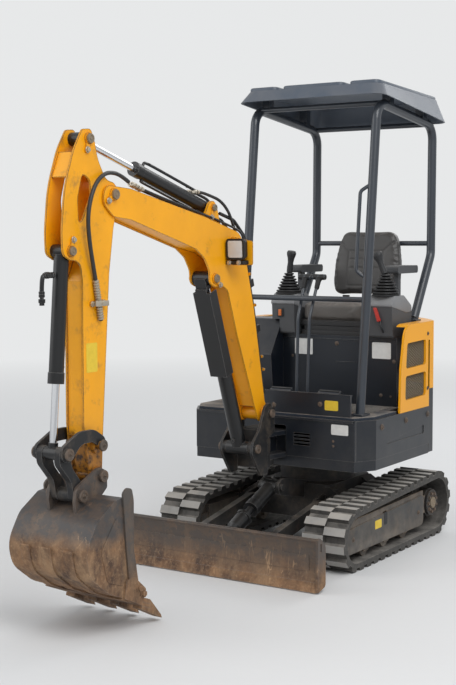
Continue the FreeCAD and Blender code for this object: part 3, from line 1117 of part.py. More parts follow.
def boom():
    """Bent box boom: side plates, hollow core, fork, bosses and the arm cylinder's ears."""
    inner = BOOM_HALF_X - BOOM_PLATE
    sides = pair(plate_x(boom_rows(), inner, BOOM_HALF_X))
    core = plate_x(boom_core_rows(0.0), -inner - 1.0, inner + 1.0)
    hollow = plate_x(boom_core_rows(BOOM_PLATE), -inner, inner)
    fork_y = ARM_PIVOT[0] + 118.0
    mouth = span_box((-30.0, 30.0), (fork_y - 5.0, fork_y + 30.0), (ARM_PIVOT[1] - 66.0, ARM_PIVOT[1] - 12.0))
    core = core.cut(hollow).cut(mouth)
    foot = rod_x(FOOT, BOSS_R, -CHEEK_INNER_X + SIDE_FIT, CHEEK_INNER_X - SIDE_FIT)
    heads = pair(rod_x(ARM_PIVOT, 24.0, BOOM_HALF_X, BOOM_HALF_X + 11.0)) + pair(rod_x(BOOM_CYL_EYE, 22.0, BOOM_HALF_X, BOOM_HALF_X + 10.0))
    arm_pin = rod_x(ARM_PIVOT, ARM_PIN_R, -BOOM_HALF_X - 1.0, BOOM_HALF_X + 1.0)
    gap = CYLINDERS["arm"]["base_half"] + SIDE_FIT
    base = ARM_CYL_BASE
    ear = plate_x([(base[0] - 78.0, base[1] - 58.0), (base[0] - 30.0, base[1] + 22.0, 28.0), (base[0] + 6.0, base[1] + 36.0, 28.0),
                   (base[0] + 34.0, base[1] + 4.0, 28.0), (base[0] + 66.0, base[1] - 92.0), (base[0] + 30.0, base[1] - 96.0)],
                  gap, gap + 12.0)
    ear_pin = rod_x(base, ARM_PIN_R, -gap - 20.0, gap + 20.0)
    eye_hole = rod_x(FOOT, BOOM_PIN_R + RUN_FIT, -CHEEK_INNER_X, CHEEK_INNER_X)
    return fuse(sides + [core, foot, arm_pin, ear_pin] + heads + pair(ear)).cut(eye_hole)


def arm_rows():
    """(y, z, radius) rows of the arm's side plates."""
    a, g, b = ARM_PIVOT, GUIDE_PIN, BUCKET_PIN
    return [
        (a[0] - 126.0, a[1] + 256.0, 22.0), (a[0] - 100.0, a[1] + 200.0, 30.0), (a[0] - 86.0, a[1] + 140.0, 200.0), (a[0] - 34.0, a[1] + 58.0, 60.0),
        (a[0] + 30.0, a[1] + 46.0, 40.0), (a[0] + 48.0, a[1] - 20.0, 40.0), (a[0] + 12.0, a[1] - 130.0, 200.0), (a[0] - 20.0, a[1] - 322.0),
        (g[0] + 47.0, g[1] + 13.0), (b[0] + 38.0, b[1] + 16.0, 36.0), (b[0] + 26.0, b[1] - 36.0, 36.0),
        (b[0] - 30.0, b[1] - 34.0, 36.0), (b[0] - 44.0, b[1] + 20.0, 40.0), (g[0] - 62.0, g[1] + 4.0, 120.0), (g[0] - 72.0, g[1] + 90.0),
        (a[0] - 190.0, a[1] - 419.0), (a[0] - 188.0, a[1] - 345.0, 120.0), (a[0] - 198.0, a[1] - 282.0, 40.0), (a[0] - 226.0, a[1] - 264.0, 20.0), (a[0] - 262.0, a[1] - 262.0, 30.0),
        (a[0] - 306.0, a[1] - 240.0, 34.0), (a[0] - 310.0, a[1] - 150.0, 400.0), (a[0] - 290.0, a[1] + 20.0, 500.0), (a[0] - 232.0, a[1] + 170.0, 300.0),
        (a[0] - 178.0, a[1] + 252.0, 22.0)]


def arm_core_rows(t):
    """Rows of the arm's box between its side plates, drawn in by a wall."""
    a, g = ARM_PIVOT, GUIDE_PIN
    return [(a[0] + 4.0 - t, a[1] - 150.0 - t), (a[0] - 25.0 - t, a[1] - 322.0), (g[0] + 43.0 - t, g[1] + 40.0 + t),
            (g[0] - 66.0 + t, g[1] + 40.0 + t), (a[0] - 185.0 + t, a[1] - 419.0), (a[0] - 184.0 + t, a[1] - 345.0 - t), (a[0] - 120.0, a[1] - 220.0 - t)]


def arm():
    """Arm: two lobed side plates, box beam, bridge plate, bosses and its own pins."""
    inner = ARM_HALF_X - ARM_PLATE
    hole_y, hole_z = ARM_PIVOT[0] - 172.0, ARM_PIVOT[1] - 12.0
    window = [(hole_y - 36.0, hole_z - 104.0, 22.0), (hole_y - 14.0, hole_z - 96.0, 24.0), (hole_y + 44.0, hole_z + 8.0, 60.0),
              (hole_y + 36.0, hole_z + 66.0, 22.0), (hole_y - 10.0, hole_z + 92.0, 16.0), (hole_y - 42.0, hole_z - 10.0, 90.0)]
    side = plate_x(arm_rows(), inner, ARM_HALF_X).cut(plate_x(window, inner - 1.0, ARM_HALF_X + 1.0))
    core = plate_x(arm_core_rows(0.0), -inner - 1.0, inner + 1.0).cut(plate_x(arm_core_rows(ARM_PLATE), -inner, inner))
    bridge_y, bridge_z = ARM_PIVOT[0] - 246.0, ARM_PIVOT[1] + 112.0
    bridge = plate_x([(bridge_y - 22.0, bridge_z - 50.0), (bridge_y - 12.0, bridge_z - 54.0), (bridge_y + 32.0, bridge_z + 46.0),
                      (bridge_y + 22.0, bridge_z + 50.0)], -inner - 1.0, inner + 1.0)
    rear = plate_x([(ARM_PIVOT[0] - 84.0, ARM_PIVOT[1] + 132.0), (ARM_PIVOT[0] - 92.0, ARM_PIVOT[1] + 128.0),
                    (ARM_PIVOT[0] - 46.0, ARM_PIVOT[1] + 50.0), (ARM_PIVOT[0] - 38.0, ARM_PIVOT[1] + 56.0)], -inner - 1.0, inner + 1.0)
    boss = rod_x(ARM_PIVOT, BOSS_R, -BOOM_HALF_X + BOOM_PLATE + SIDE_FIT, BOOM_HALF_X - BOOM_PLATE - SIDE_FIT)
    tip = [rod_x(GUIDE_PIN, BOSS_R, -TIP_HALF_X, TIP_HALF_X), rod_x(BUCKET_PIN, BOSS_R, -TIP_HALF_X, TIP_HALF_X)]
    tail = plate_x([(GUIDE_PIN[0] + 43.0, GUIDE_PIN[1] + 20.0), (BUCKET_PIN[0] + 30.0, BUCKET_PIN[1]), (BUCKET_PIN[0] - 30.0, BUCKET_PIN[1]),
                    (GUIDE_PIN[0] - 56.0, GUIDE_PIN[1] + 10.0)], -inner - 1.0, inner + 1.0)
    guide_pin = rod_x(GUIDE_PIN, ARM_PIN_R, -TIP_HALF_X - LINK_PLATE - 12.0, TIP_HALF_X + LINK_PLATE + 12.0)
    base_pin = rod_x(BUCKET_CYL_BASE, ARM_PIN_R, -ARM_HALF_X - 10.0, ARM_HALF_X + 10.0)
    heads = pair(rod_x(ARM_CYL_EYE, 22.0, ARM_HALF_X, ARM_HALF_X + 10.0)) + pair(rod_x(BUCKET_CYL_BASE, 22.0, ARM_HALF_X, ARM_HALF_X + 8.0))
    whole = fuse(pair(side) + [core, bridge, rear, boss, tail, guide_pin, base_pin] + tip + heads)
    whole = whole.cut(rod_x(ARM_PIVOT, ARM_PIN_R + RUN_FIT, -BOOM_HALF_X, BOOM_HALF_X))
    return whole.cut(rod_x(BUCKET_PIN, ARM_PIN_R + RUN_FIT, -TIP_HALF_X - 1.0, TIP_HALF_X + 1.0))


def bucket_rows(t):
    """(y, z, radius) rows of the bucket's section, drawn in by a wall."""
    b = BUCKET_PIN
    return [(b[0] - 20.0 - (t * 0.2), b[1] - 72.0 - t), (b[0] - 75.0, b[1] - 76.0 - t, 30.0), (b[0] - 190.0 + t, b[1] - 142.0 - t * 0.5, 110.0),
            (b[0] - 262.0 + t, b[1] - 252.0, 130.0), (b[0] - 236.0 + t, b[1] - 352.0, 120.0), (b[0] - 120.0, b[1] - 440.0 + t * 1.2, 200.0),
            (b[0] + 140.0, b[1] - 546.0 + t * 1.1)]


def bucket_shell():
    """Bucket: rolled back, side plates, lip, ears and its pin."""
    b, l = BUCKET_PIN, LINK_PIN
    half = BUCKET_HALF_X
    mouth = [(b[0] + 27.0, b[1] - 500.0), (b[0] + 27.0, b[1] - 86.0, 20.0)]
    body = plate_x(bucket_rows(0.0) + mouth, -half, half)
    void = plate_x(bucket_rows(BUCKET_WALL) + [(b[0] + 240.0, b[1] - 546.0), (b[0] + 240.0, b[1] - 66.0)], -half + BUCKET_WALL, half - BUCKET_WALL)
    body = body.cut(void)
    lip = plate_x([(b[0] - 40.0, b[1] - 482.0), (b[0] + 146.0, b[1] - 560.0), (b[0] + 152.0, b[1] - 546.0), (b[0] - 30.0, b[1] - 470.0)], -half, half)
    x0 = TIP_HALF_X + SIDE_FIT
    ear = plate_x([(b[0] + 34.0, b[1] + 16.0, 34.0), (b[0] - 16.0, b[1] + 38.0, 34.0), (l[0] - 30.0, l[1] + 36.0, 30.0),
                   (l[0] - 40.0, l[1] - 20.0, 30.0), (l[0] - 30.0, b[1] - 146.0), (b[0] - 8.0, b[1] - 84.0), (b[0] + 34.0, b[1] - 52.0, 12.0)],
                  x0, x0 + EAR_THICK)
    reach = x0 + EAR_THICK + 8.0
    pins = [rod_x(b, ARM_PIN_R, -reach, reach), rod_x(l, ARM_PIN_R, -reach, reach)]
    heads = pair(rod_x(l, 24.0, x0 + EAR_THICK, reach)) + pair(rod_x(b, 24.0, x0 + EAR_THICK, reach))
    straps = [plate_x([(b[0] - 266.0, b[1] - 250.0, 60.0), (b[0] - 240.0, b[1] - 356.0, 100.0), (b[0] - 120.0, b[1] - 448.0, 150.0), (b[0] + 20.0, b[1] - 506.0),
                       (b[0] + 20.0, b[1] - 490.0), (b[0] - 120.0, b[1] - 434.0, 150.0), (b[0] - 230.0, b[1] - 352.0, 100.0), (b[0] - 254.0, b[1] - 250.0, 60.0)],
                      x - 22.0, x + 22.0) for x in (-110.0, 0.0, 110.0)]
    cutters = pair(plate_x([(b[0] - 30.0, b[1] - 480.0, 8.0), (b[0] + 80.0, b[1] - 530.0, 8.0), (b[0] + 112.0, b[1] - 470.0, 14.0), (b[0] + 30.0, b[1] - 400.0, 20.0),
                            (b[0] - 20.0, b[1] - 410.0, 10.0)], half, half + 10.0))
    return fuse([body, lip] + pins + pair(ear) + heads + straps + cutters)


def bucket_teeth():
    """Cast teeth on the lip."""
    b = BUCKET_PIN
    teeth = []
    spread = 2 * BUCKET_HALF_X - TOOTH_WIDTH
    for i in range(TOOTH_COUNT):
        x = -BUCKET_HALF_X + TOOTH_WIDTH / 2 + spread * i / (TOOTH_COUNT - 1)
        tooth = plate_x([(b[0] + 90.0, b[1] - 552.0), (b[0] + 231.0, b[1] - 622.0), (b[0] + 224.0, b[1] - 606.0), (b[0] + 150.0, b[1] - 524.0), (b[0] + 104.0, b[1] - 506.0)],
                        x - TOOTH_WIDTH / 2, x + TOOTH_WIDTH / 2)
        slot = plate_x([(b[0] + 60.0, b[1] - 524.0 - 2.0 * SEAT), (b[0] + 146.0, b[1] - 560.0 - SEAT), (b[0] + 146.6, b[1] - 560.0 - SEAT),
                        (b[0] + 152.6, b[1] - 546.0 + SEAT), (b[0] + 60.0, b[1] - 507.0 + SEAT)], x - 30.0, x + 30.0)
        teeth.append(tooth.cut(slot))
    return Part.makeCompound(teeth)


def guide_links():
    """Two curved plates from the arm's tip to the bucket cylinder's eye, with stub pins."""
    g, k = GUIDE_PIN, BUCKET_CYL_EYE
    x0 = TIP_HALF_X + SIDE_FIT
    blade = plate_x([(g[0] + 30.0, g[1] - 24.0, 28.0), (g[0] + 30.0, g[1] + 28.0, 28.0), (g[0] - 40.0, g[1] + 70.0, 80.0), (g[0] - 130.0, g[1] + 70.0, 80.0),
                     (k[0] - 28.0, k[1] + 30.0, 30.0), (k[0] - 32.0, k[1] - 26.0, 30.0), (k[0] + 20.0, k[1] - 34.0, 30.0), (g[0] - 120.0, g[1] + 20.0, 60.0),
                     (g[0] - 50.0, g[1] + 20.0, 40.0)], x0, x0 + LINK_PLATE)
    blade = blade.cut(rod_x(g, ARM_PIN_R + RUN_FIT, x0 - 1.0, x0 + LINK_PLATE + 1.0))
    head = rod_x(k, 24.0, x0 + LINK_PLATE, x0 + LINK_PLATE + 10.0)
    return Part.makeCompound(pair(fuse([blade, head])))


def bucket_link():
    """Cast H link from the cylinder's eye to the bucket, with a bridge clear of the eye."""
    k, l = BUCKET_CYL_EYE, LINK_PIN
    x0, x1 = CYLINDERS["bucket"]["eye_half"] + SIDE_FIT, TIP_HALF_X
    side = plate_x([(k[0] - 30.0, k[1] + 26.0, 30.0), (k[0] + 24.0, k[1] + 30.0, 30.0), (k[0] + 44.0, k[1] - 60.0, 60.0), (l[0] + 28.0, l[1] + 40.0, 60.0),
                    (l[0] + 26.0, l[1] - 28.0, 28.0), (l[0] - 26.0, l[1] - 26.0, 28.0), (l[0] - 42.0, l[1] + 60.0, 60.0), (k[0] - 28.0, k[1] - 40.0, 40.0)],
                   x0, x1)
    low = rod_x(l, 28.0, -x1, x1)
    return fuse(pair(side) + [low]).cut(rod_x(l, ARM_PIN_R + RUN_FIT, -x1 - 1.0, x1 + 1.0))


def work_lamp():
    """Lamp housing on a bracket at the boom's left."""
    y, z = FOOT[0] - 300.0, FOOT[1] + 800.0
    x0 = BOOM_HALF_X + SEAT
    case = span_box((x0 + 14.0, x0 + 92.0), (y - 50.0, y - 6.0), (z - 40.0, z + 40.0))
    case = case.makeFillet(6.0, case.Edges)
    bracket = [span_box((x0, x0 + 6.0), (y - 30.0, y + 40.0), (z - 56.0, z + 20.0)), span_box((x0, x0 + 70.0), (y - 40.0, y + 10.0), (z - 62.0, z - 50.0)),
               span_box((x0 + 40.0, x0 + 60.0), (y - 34.0, y - 14.0), (z - 52.0, z - 36.0))]
    return fuse([case] + bracket)


def boom_pipes():
    """Steel lines and hoses along the boom's back, with clamp blocks."""
    f, a, base = FOOT, ARM_PIVOT, ARM_CYL_BASE
    lines = []
    for x in (-34.0, 34.0):
        route = [(x, f[0] - 40.0, f[1] + 340.0), (x, f[0] - 92.0, f[1] + 625.0), (x, f[0] - 130.0, f[1] + 850.0),
                 (x, f[0] - 230.0, f[1] + 930.0), (x, base[0] + 70.0, base[1] - 25.0)]
        lines.append(pipe(route, 8.0, [200.0, 90.0, 60.0]))
    clamps = []
    for low, high, share in (((f[0] + 8.0, f[1] + 60.0), (f[0] - 86.0, f[1] + 504.0), 0.78),
                             ((f[0] - 86.0, f[1] + 504.0), (f[0] - 156.0, f[1] + 745.0), 0.5)):
        run, rise = high[0] - low[0], high[1] - low[1]
        length = math.hypot(run, rise)
        out = Vector(0, rise / length, -run / length)
        up = Vector(0, run / length, rise / length)
        at = Vector(0, low[0] + run * share, low[1] + rise * share)
        corners = [at + out * (SEAT + o) + up * u for o, u in ((0, -18), (42, -18), (42, 18), (0, 18))]
        clamps.append(plate_x([(c.y, c.z) for c in corners], -52.0, 52.0))
    return fuse(lines + clamps)


def nodes():
    """Every piece by its name."""
    pieces = {
        "car_body": car_body, "slew_ring": slew_ring,
        "blade_board": blade_board, "blade_edge": blade_edge, "blade_arms": blade_arms,
        "deck_frame": deck_frame, "counterweight": counterweight, "front_cover": front_cover,
        "engine_hood": engine_hood, "hood_grilles": hood_grilles, "hood_top": hood_top, "engine_block": engine_block,
        "seat_box": seat_box, "right_cover": right_cover, "floor_plate": floor_plate, "kick_panel": kick_panel,
        "seat_base": seat_base, "seat_cushion": seat_cushion, "seat_back": seat_back,
        "joysticks": joysticks, "floor_controls": floor_controls,
        "canopy_frame": canopy_frame, "canopy_roof": canopy_roof,
        "swing_bracket": swing_bracket, "boom": boom, "boom_pipes": boom_pipes, "work_lamp": work_lamp, "arm": arm,
        "bucket_shell": bucket_shell, "bucket_teeth": bucket_teeth, "guide_links": guide_links, "bucket_link": bucket_link,
        "boom_cyl_guard": boom_cyl_guard,
    }
    made = {name: make() for name, make in pieces.items()}
    for side, word in ((1, "left"), (-1, "right")):
        made["track_" + word] = track(side)
        made["track_frame_" + word] = track_frame(side)
        made["sprocket_" + word] = sprocket(side)
        made["side_skirt_" + word] = side_skirt(side)
        made["console_" + word] = console(side)
    pins = {"boom": BOOM_PIN_R, "arm": ARM_PIN_R, "bucket": ARM_PIN_R, "blade": 16.0}
    for kind, pin_r in pins.items():
        made[kind + "_cyl_barrel"] = barrel(kind, pin_r)
        made[kind + "_cyl_rod"] = rod(kind)
    return made


def origin_shift(made):
    """How far +Y the machine moves so that its footprint's middle is the origin."""
    boxes = [shape.BoundBox for shape in made.values()]
    return -round((min(b.YMin for b in boxes) + max(b.YMax for b in boxes)) / 2)


def main():
    os.makedirs("parts", exist_ok=True)
    made = nodes()
    shift = origin_shift(made)
    print("origin shift", shift)
    for name, shape in made.items():
        shape.translate(Vector(0, shift, 0))
        print(name, len(shape.Solids), "solids", "valid" if shape.isValid() else "INVALID",
              "volume %.2f l" % (shape.Volume / 1e6))
        shape.exportStep("parts/%s.step" % name)


if __name__ == "__main__":
    main()
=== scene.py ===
"""Finishes, fittings and soft parts of a mini excavator, built around its frame.

Tables give places in millimetres from the slew axis at ground level: +X is the machine's left,
it faces -Y, and +Z is up. The meshes themselves are in metres.
"""

import math

import bmesh
import bpy
from bpy.props import FloatProperty, FloatVectorProperty, IntProperty, PointerProperty
from mathutils import Matrix, Vector


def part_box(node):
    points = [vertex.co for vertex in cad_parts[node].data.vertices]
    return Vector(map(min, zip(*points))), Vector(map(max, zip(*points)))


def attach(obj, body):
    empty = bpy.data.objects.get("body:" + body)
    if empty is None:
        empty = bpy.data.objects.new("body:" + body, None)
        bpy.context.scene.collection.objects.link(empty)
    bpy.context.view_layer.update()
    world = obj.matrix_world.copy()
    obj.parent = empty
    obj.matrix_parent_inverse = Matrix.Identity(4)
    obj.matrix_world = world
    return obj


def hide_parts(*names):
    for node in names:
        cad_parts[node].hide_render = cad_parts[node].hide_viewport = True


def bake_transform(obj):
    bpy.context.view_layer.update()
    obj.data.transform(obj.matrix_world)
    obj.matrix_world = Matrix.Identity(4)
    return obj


bl_info = {
    "name": "Mini excavator",
    "version": (1, 0, 0),
    "blender": (4, 5, 0),
    "location": "3D View > Sidebar > Excavator",
    "description": "Finishes and fittings of a mini excavator",
    "category": "Object",
}

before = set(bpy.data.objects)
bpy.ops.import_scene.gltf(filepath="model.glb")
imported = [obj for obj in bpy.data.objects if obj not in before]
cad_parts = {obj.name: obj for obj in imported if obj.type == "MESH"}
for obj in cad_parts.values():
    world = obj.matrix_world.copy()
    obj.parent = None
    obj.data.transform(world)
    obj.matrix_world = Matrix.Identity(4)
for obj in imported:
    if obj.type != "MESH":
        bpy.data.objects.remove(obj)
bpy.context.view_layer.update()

MM = 0.001
RING_LOW, RING_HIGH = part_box("slew_ring")
AXIS_Y = (RING_LOW.y + RING_HIGH.y) / 2

# Pins as (y, z)
FOOT = (-641.0, 738.0)
BOOM_CYL_BASE = (-770.0, 582.0)
BOOM_CYL_EYE = (-1063.0, 1402.0)
ARM_CYL_BASE = (-1057.0, 1722.0)
ARM_PIVOT = (-1800.0, 1764.0)
ARM_CYL_EYE = (-1943.0, 1980.0)
BUCKET_CYL_BASE = (-2059.0, 1538.0)
BUCKET_PIN = (-1919.0, 633.0)
GUIDE_PIN = (-1921.0, 758.0)
LINK_PIN = (-2048.0, 572.0)
BUCKET_CYL_EYE = (-2130.0, 749.0)
BLADE_PIVOT = (-330.0, 235.0)
BLADE_CYL_EYE = (-872.0, 176.0)

# Places that several pieces share
STATION_X = 80.0
HOUSE_SIDE = 523.0
HOUSE_FRONT = -466.0
FLOOR_TOP = 716.3
CONSOLE_X = 287.0
CONSOLE_TOP = 1282.0
STICK_Y = 52.0
LEFT = (1.0, 0.0, 0.0)
RIGHT = (-1.0, 0.0, 0.0)
FRONT = (0.0, -1.0, 0.0)
BACK = (0.0, 1.0, 0.0)
UP = (0.0, 0.0, 1.0)
DOWN = (0.0, 0.0, -1.0)

# Dirt and bare metal under the paint
DUST = (0.40, 0.37, 0.33, 1.0)
MUD = (0.19, 0.145, 0.105, 1.0)
PRIMER = (0.045, 0.035, 0.03, 1.0)
STEEL = (0.42, 0.40, 0.38, 1.0)
RUST_DARK = (0.060, 0.032, 0.021, 1.0)
RUST_MID = (0.265, 0.142, 0.068, 1.0)
RUST_PALE = (0.400, 0.255, 0.140, 1.0)
RUST_STAIN = (0.300, 0.115, 0.014, 1.0)


# Shapes

def at(x, y, z):
    """A point in metres from millimetres about the slew axis."""
    return Vector((x * MM, y * MM + AXIS_Y, z * MM))


def facing(point, out, up=UP):
    """Placement at a point, its Z looking out and its Y leaning towards up."""
    z = Vector(out).normalized()
    y = Vector(up) - z * Vector(up).dot(z)
    if y.length < 1e-3:
        y = Vector(BACK) - z * Vector(BACK).dot(z)
    y.normalize()
    turn = Matrix((y.cross(z), y, z)).transposed().to_4x4()
    return Matrix.Translation(at(*point)) @ turn


def element(build, *sizes):
    """Mesh of a small part that a function shapes in millimetres about its own origin."""
    shape = bmesh.new()
    build(shape, *sizes)
    bmesh.ops.remove_doubles(shape, verts=shape.verts, dist=0.001)
    bmesh.ops.recalc_face_normals(shape, faces=shape.faces)
    bmesh.ops.scale(shape, vec=(MM, MM, MM), verts=shape.verts)
    mesh = bpy.data.meshes.new(build.__name__)
    shape.to_mesh(mesh)
    shape.free()
    return mesh


def add_copy(shape, mesh, place, index=0):
    """Adds a mesh to a shape at a placement, with one of the piece's materials."""
    first = len(shape.verts)
    first_face = len(shape.faces)
    shape.from_mesh(mesh)
    shape.verts.ensure_lookup_table()
    shape.faces.ensure_lookup_table()
    bmesh.ops.transform(shape, matrix=place, verts=shape.verts[first:])
    for face in shape.faces[first_face:]:
        face.material_index = index


def smooth_shape(shape, sharp_deg=35.0):
    """Smooth shading that breaks at the shape's sharp edges."""
    for face in shape.faces:
        face.smooth = True
    limit = math.radians(sharp_deg)
    for edge in shape.edges:
        edge.smooth = len(edge.link_faces) == 2 and edge.calc_face_angle(0.0) < limit


def finish_piece(name, shape, body, materials, stands_for=(), sharp_deg=35.0):
    """Object of a finished shape, riding on its body."""
    smooth_shape(shape, sharp_deg)
    mesh = bpy.data.meshes.new(name)
    shape.to_mesh(mesh)
    shape.free()
    for material in materials:
        mesh.materials.append(bpy.data.materials[material])
    piece = bpy.data.objects.new(name, mesh)
    bpy.context.scene.collection.objects.link(piece)
    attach(piece, body)
    if stands_for:
        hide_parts(*stands_for)
    return piece


def turn_profile(shape, rows, steps=24):
    """Turns (radius, height) rows about Z."""
    verts = [shape.verts.new((radius, 0.0, height)) for radius, height in rows]
    edges = [shape.edges.new(ends) for ends in zip(verts, verts[1:])]
    bmesh.ops.spin(shape, geom=verts + edges, cent=(0, 0, 0), axis=(0, 0, 1), angle=math.tau,
                   steps=steps, use_merge=True, use_duplicate=False)


def bevel_all(shape, width, segments=2, limit_deg=25.0):
    """Rounds every edge that is sharper than a limit."""
    edges = [e for e in shape.edges if e.calc_face_angle(0.0) > math.radians(limit_deg)]
    bmesh.ops.bevel(shape, geom=edges, offset=width, offset_type="OFFSET", affect="EDGES",
                    segments=segments, profile=0.5, material=-1, clamp_overlap=True)


def rounded_box(shape, size, centre=(0.0, 0.0, 0.0), width=2.0, segments=2):
    """Box of a size about a centre with rounded edges."""
    made = bmesh.ops.create_cube(shape, size=1.0)["verts"]
    bmesh.ops.scale(shape, vec=size, verts=made)
    bmesh.ops.translate(shape, vec=centre, verts=made)
    edges = list({e for v in made for e in v.link_edges})
    bmesh.ops.bevel(shape, geom=edges, offset=width, offset_type="OFFSET", affect="EDGES",
                    segments=segments, profile=0.5, material=-1, clamp_overlap=True)


def raised_plate(shape, rows, thick, corner=0.0, rim=0.0):
    """Plate on Z = 0 with an (x, y) outline, rounded corners and a rounded rim."""
    face = shape.faces.new([shape.verts.new((x, y, 0.0)) for x, y in rows])
    if corner:
        bmesh.ops.bevel(shape, geom=list(face.verts), offset=corner, offset_type="OFFSET",
                        affect="VERTICES", segments=5, profile=0.5, material=-1)
    face = max(shape.faces, key=lambda f: f.calc_area())
    made = bmesh.ops.extrude_face_region(shape, geom=[face])["geom"]
    top = [v for v in made if isinstance(v, bmesh.types.BMVert)]
    bmesh.ops.translate(shape, vec=(0, 0, thick), verts=top)
    if rim:
        top_face = [f for f in made if isinstance(f, bmesh.types.BMFace)][0]
        bmesh.ops.bevel(shape, geom=list(top_face.edges), offset=rim, offset_type="OFFSET",
                        affect="EDGES", segments=2, profile=0.5, material=-1, clamp_overlap=True)


def sheet_rows(width, height):
    """Outline rows of a rectangle about the origin."""
    x, y = width / 2, height / 2
    return [(-x, -y), (x, -y), (x, y), (-x, y)]


def hex_bolt(shape, across):
    """Hex head on a washer, standing on Z = 0; across is its width over the flats."""
    head = across / math.sqrt(3)
    turn_profile(shape, [(0, 0), (head * 1.35, 0), (head * 1.35, across * 0.1),
                         (head * 1.27, across * 0.14), (0, across * 0.14)], 16)
    made = bmesh.ops.create_cone(shape, cap_ends=True, segments=6, radius1=head, radius2=head,
                                 depth=across * 0.42)["verts"]
    bmesh.ops.translate(shape, vec=(0, 0, across * 0.35), verts=made)
    rim = [e for e in shape.edges if e.verts[0] in made and e.verts[1] in made
           and e.verts[0].co.z > across * 0.5 and e.verts[1].co.z > across * 0.5]
    bmesh.ops.bevel(shape, geom=rim, offset=across * 0.06, offset_type="OFFSET", affect="EDGES",
                    segments=1, profile=0.5, material=-1)


def cap_bolt(shape, across):
    """Round flanged head with a dished middle, standing on Z = 0."""
    r = across / 2
    turn_profile(shape, [(0, 0), (r * 1.5, 0), (r * 1.5, r * 0.14), (r * 1.32, r * 0.24), (r * 0.98, r * 0.26),
                         (r * 0.92, r * 0.66), (r * 0.78, r * 0.74), (r * 0.5, r * 0.74),
                         (r * 0.44, r * 0.5), (0, r * 0.5)], 20)


def grease_nipple(shape, length):
    """Small grease nipple standing on Z = 0."""
    turn_profile(shape, [(0, 0), (4.6, 0), (4.6, length * 0.4), (2.4, length * 0.46), (2.2, length * 0.66),
                         (3.0, length * 0.78), (2.0, length), (0, length)], 12)


def pin_collar(shape, radius, height):
    """Chamfered pin end with a turned groove."""
    turn_profile(shape, [(0, 0), (radius, 0), (radius, height * 0.62), (radius - 1.6, height),
                         (radius * 0.62, height), (radius * 0.58, height - 1.6), (radius * 0.36, height - 1.6),
                         (radius * 0.32, height), (0, height)], 28)


def keeper_plate(shape, length, width):
    """Flat keeper that locks a pin, with rounded ends."""
    raised_plate(shape, sheet_rows(length, width), 6.0, corner=width * 0.45, rim=1.0)


# Shader effects

def new_group(name, inputs, outputs):
    """Node group with number inputs and named outputs; returns its tree and its input sockets."""
    tree = bpy.data.node_groups.new(name, "ShaderNodeTree")
    for label, value in inputs:
        tree.interface.new_socket(name=label, in_out="INPUT", socket_type="NodeSocketFloat").default_value = value
    for label in outputs:
        kind = "NodeSocketColor" if label == "Color" else "NodeSocketFloat"
        tree.interface.new_socket(name=label, in_out="OUTPUT", socket_type=kind)
    return tree, tree.nodes.new("NodeGroupInput").outputs


def add(tree, kind, links=None, **settings):
    """A node with its settings; its inputs are values or other nodes' sockets."""
    node = tree.nodes.new(kind)
    for name, value in settings.items():
        setattr(node, name, value)
    for key, value in (links or {}).items():
        if isinstance(value, bpy.types.NodeSocket):
            tree.links.new(value, node.inputs[key])
        else:
            node.inputs[key].default_value = value
    return node


def calc(tree, operation, a, b=0.0, clamp=False):
    """Result of a Math node."""
    return add(tree, "ShaderNodeMath", {0: a, 1: b}, operation=operation, use_clamp=clamp).outputs[0]


def band(tree, value, low, high):
    """Value taken from low..high to 0..1 and held inside."""
    links = {"Value": value, "From Min": low, "From Max": high}
    return add(tree, "ShaderNodeMapRange", links).outputs["Result"]


def mix(tree, share, a, b):
    """Two colours mixed by a share."""
    return add(tree, "ShaderNodeMix", {0: share, 6: a, 7: b}, data_type="RGBA").outputs[2]


def noise(tree, scale, detail=5.0, rough=0.6, stretch=None, warp=0.0):
    """Noise value over the object's own coordinates, stretched by a scale per axis."""
    vector = add(tree, "ShaderNodeTexCoord").outputs["Object"]
    if stretch:
        vector = add(tree, "ShaderNodeMapping", {"Vector": vector, "Scale": stretch}).outputs["Vector"]
    links = {"Vector": vector, "Scale": scale, "Detail": detail, "Roughness": rough, "Distortion": warp}
    return add(tree, "ShaderNodeTexNoise", links).outputs[0]


def finish_group(tree, **results):
    """Joins results to the group's output sockets; an underscore in a name stands for a space."""
    end = tree.nodes.new("NodeGroupOutput")
    for label, socket in results.items():
        tree.links.new(socket, end.inputs[label.replace("_", " ")])


def use(tree, group, output, **values):
    """Places a node group with its own values and returns one of its outputs."""
    node = add(tree, "ShaderNodeGroup", node_tree=bpy.data.node_groups[group])
    for label, value in values.items():
        socket = node.inputs[label.replace("_", " ")]
        if isinstance(value, bpy.types.NodeSocket):
            tree.links.new(value, socket)
        else:
            socket.default_value = value
    return node.outputs[output]


def mottle_group():
    """Soft clouds between 0 and 1."""
    tree, given = new_group("mottle", [("Scale", 5.0), ("Contrast", 1.0)], ["Value"])
    value = noise(tree, given["Scale"], 6.0)
    spread = calc(tree, "DIVIDE", 0.22, given["Contrast"])
    low = calc(tree, "SUBTRACT", 0.5, spread)
    high = calc(tree, "ADD", 0.5, spread)
    finish_group(tree, Value=band(tree, value, low, high))


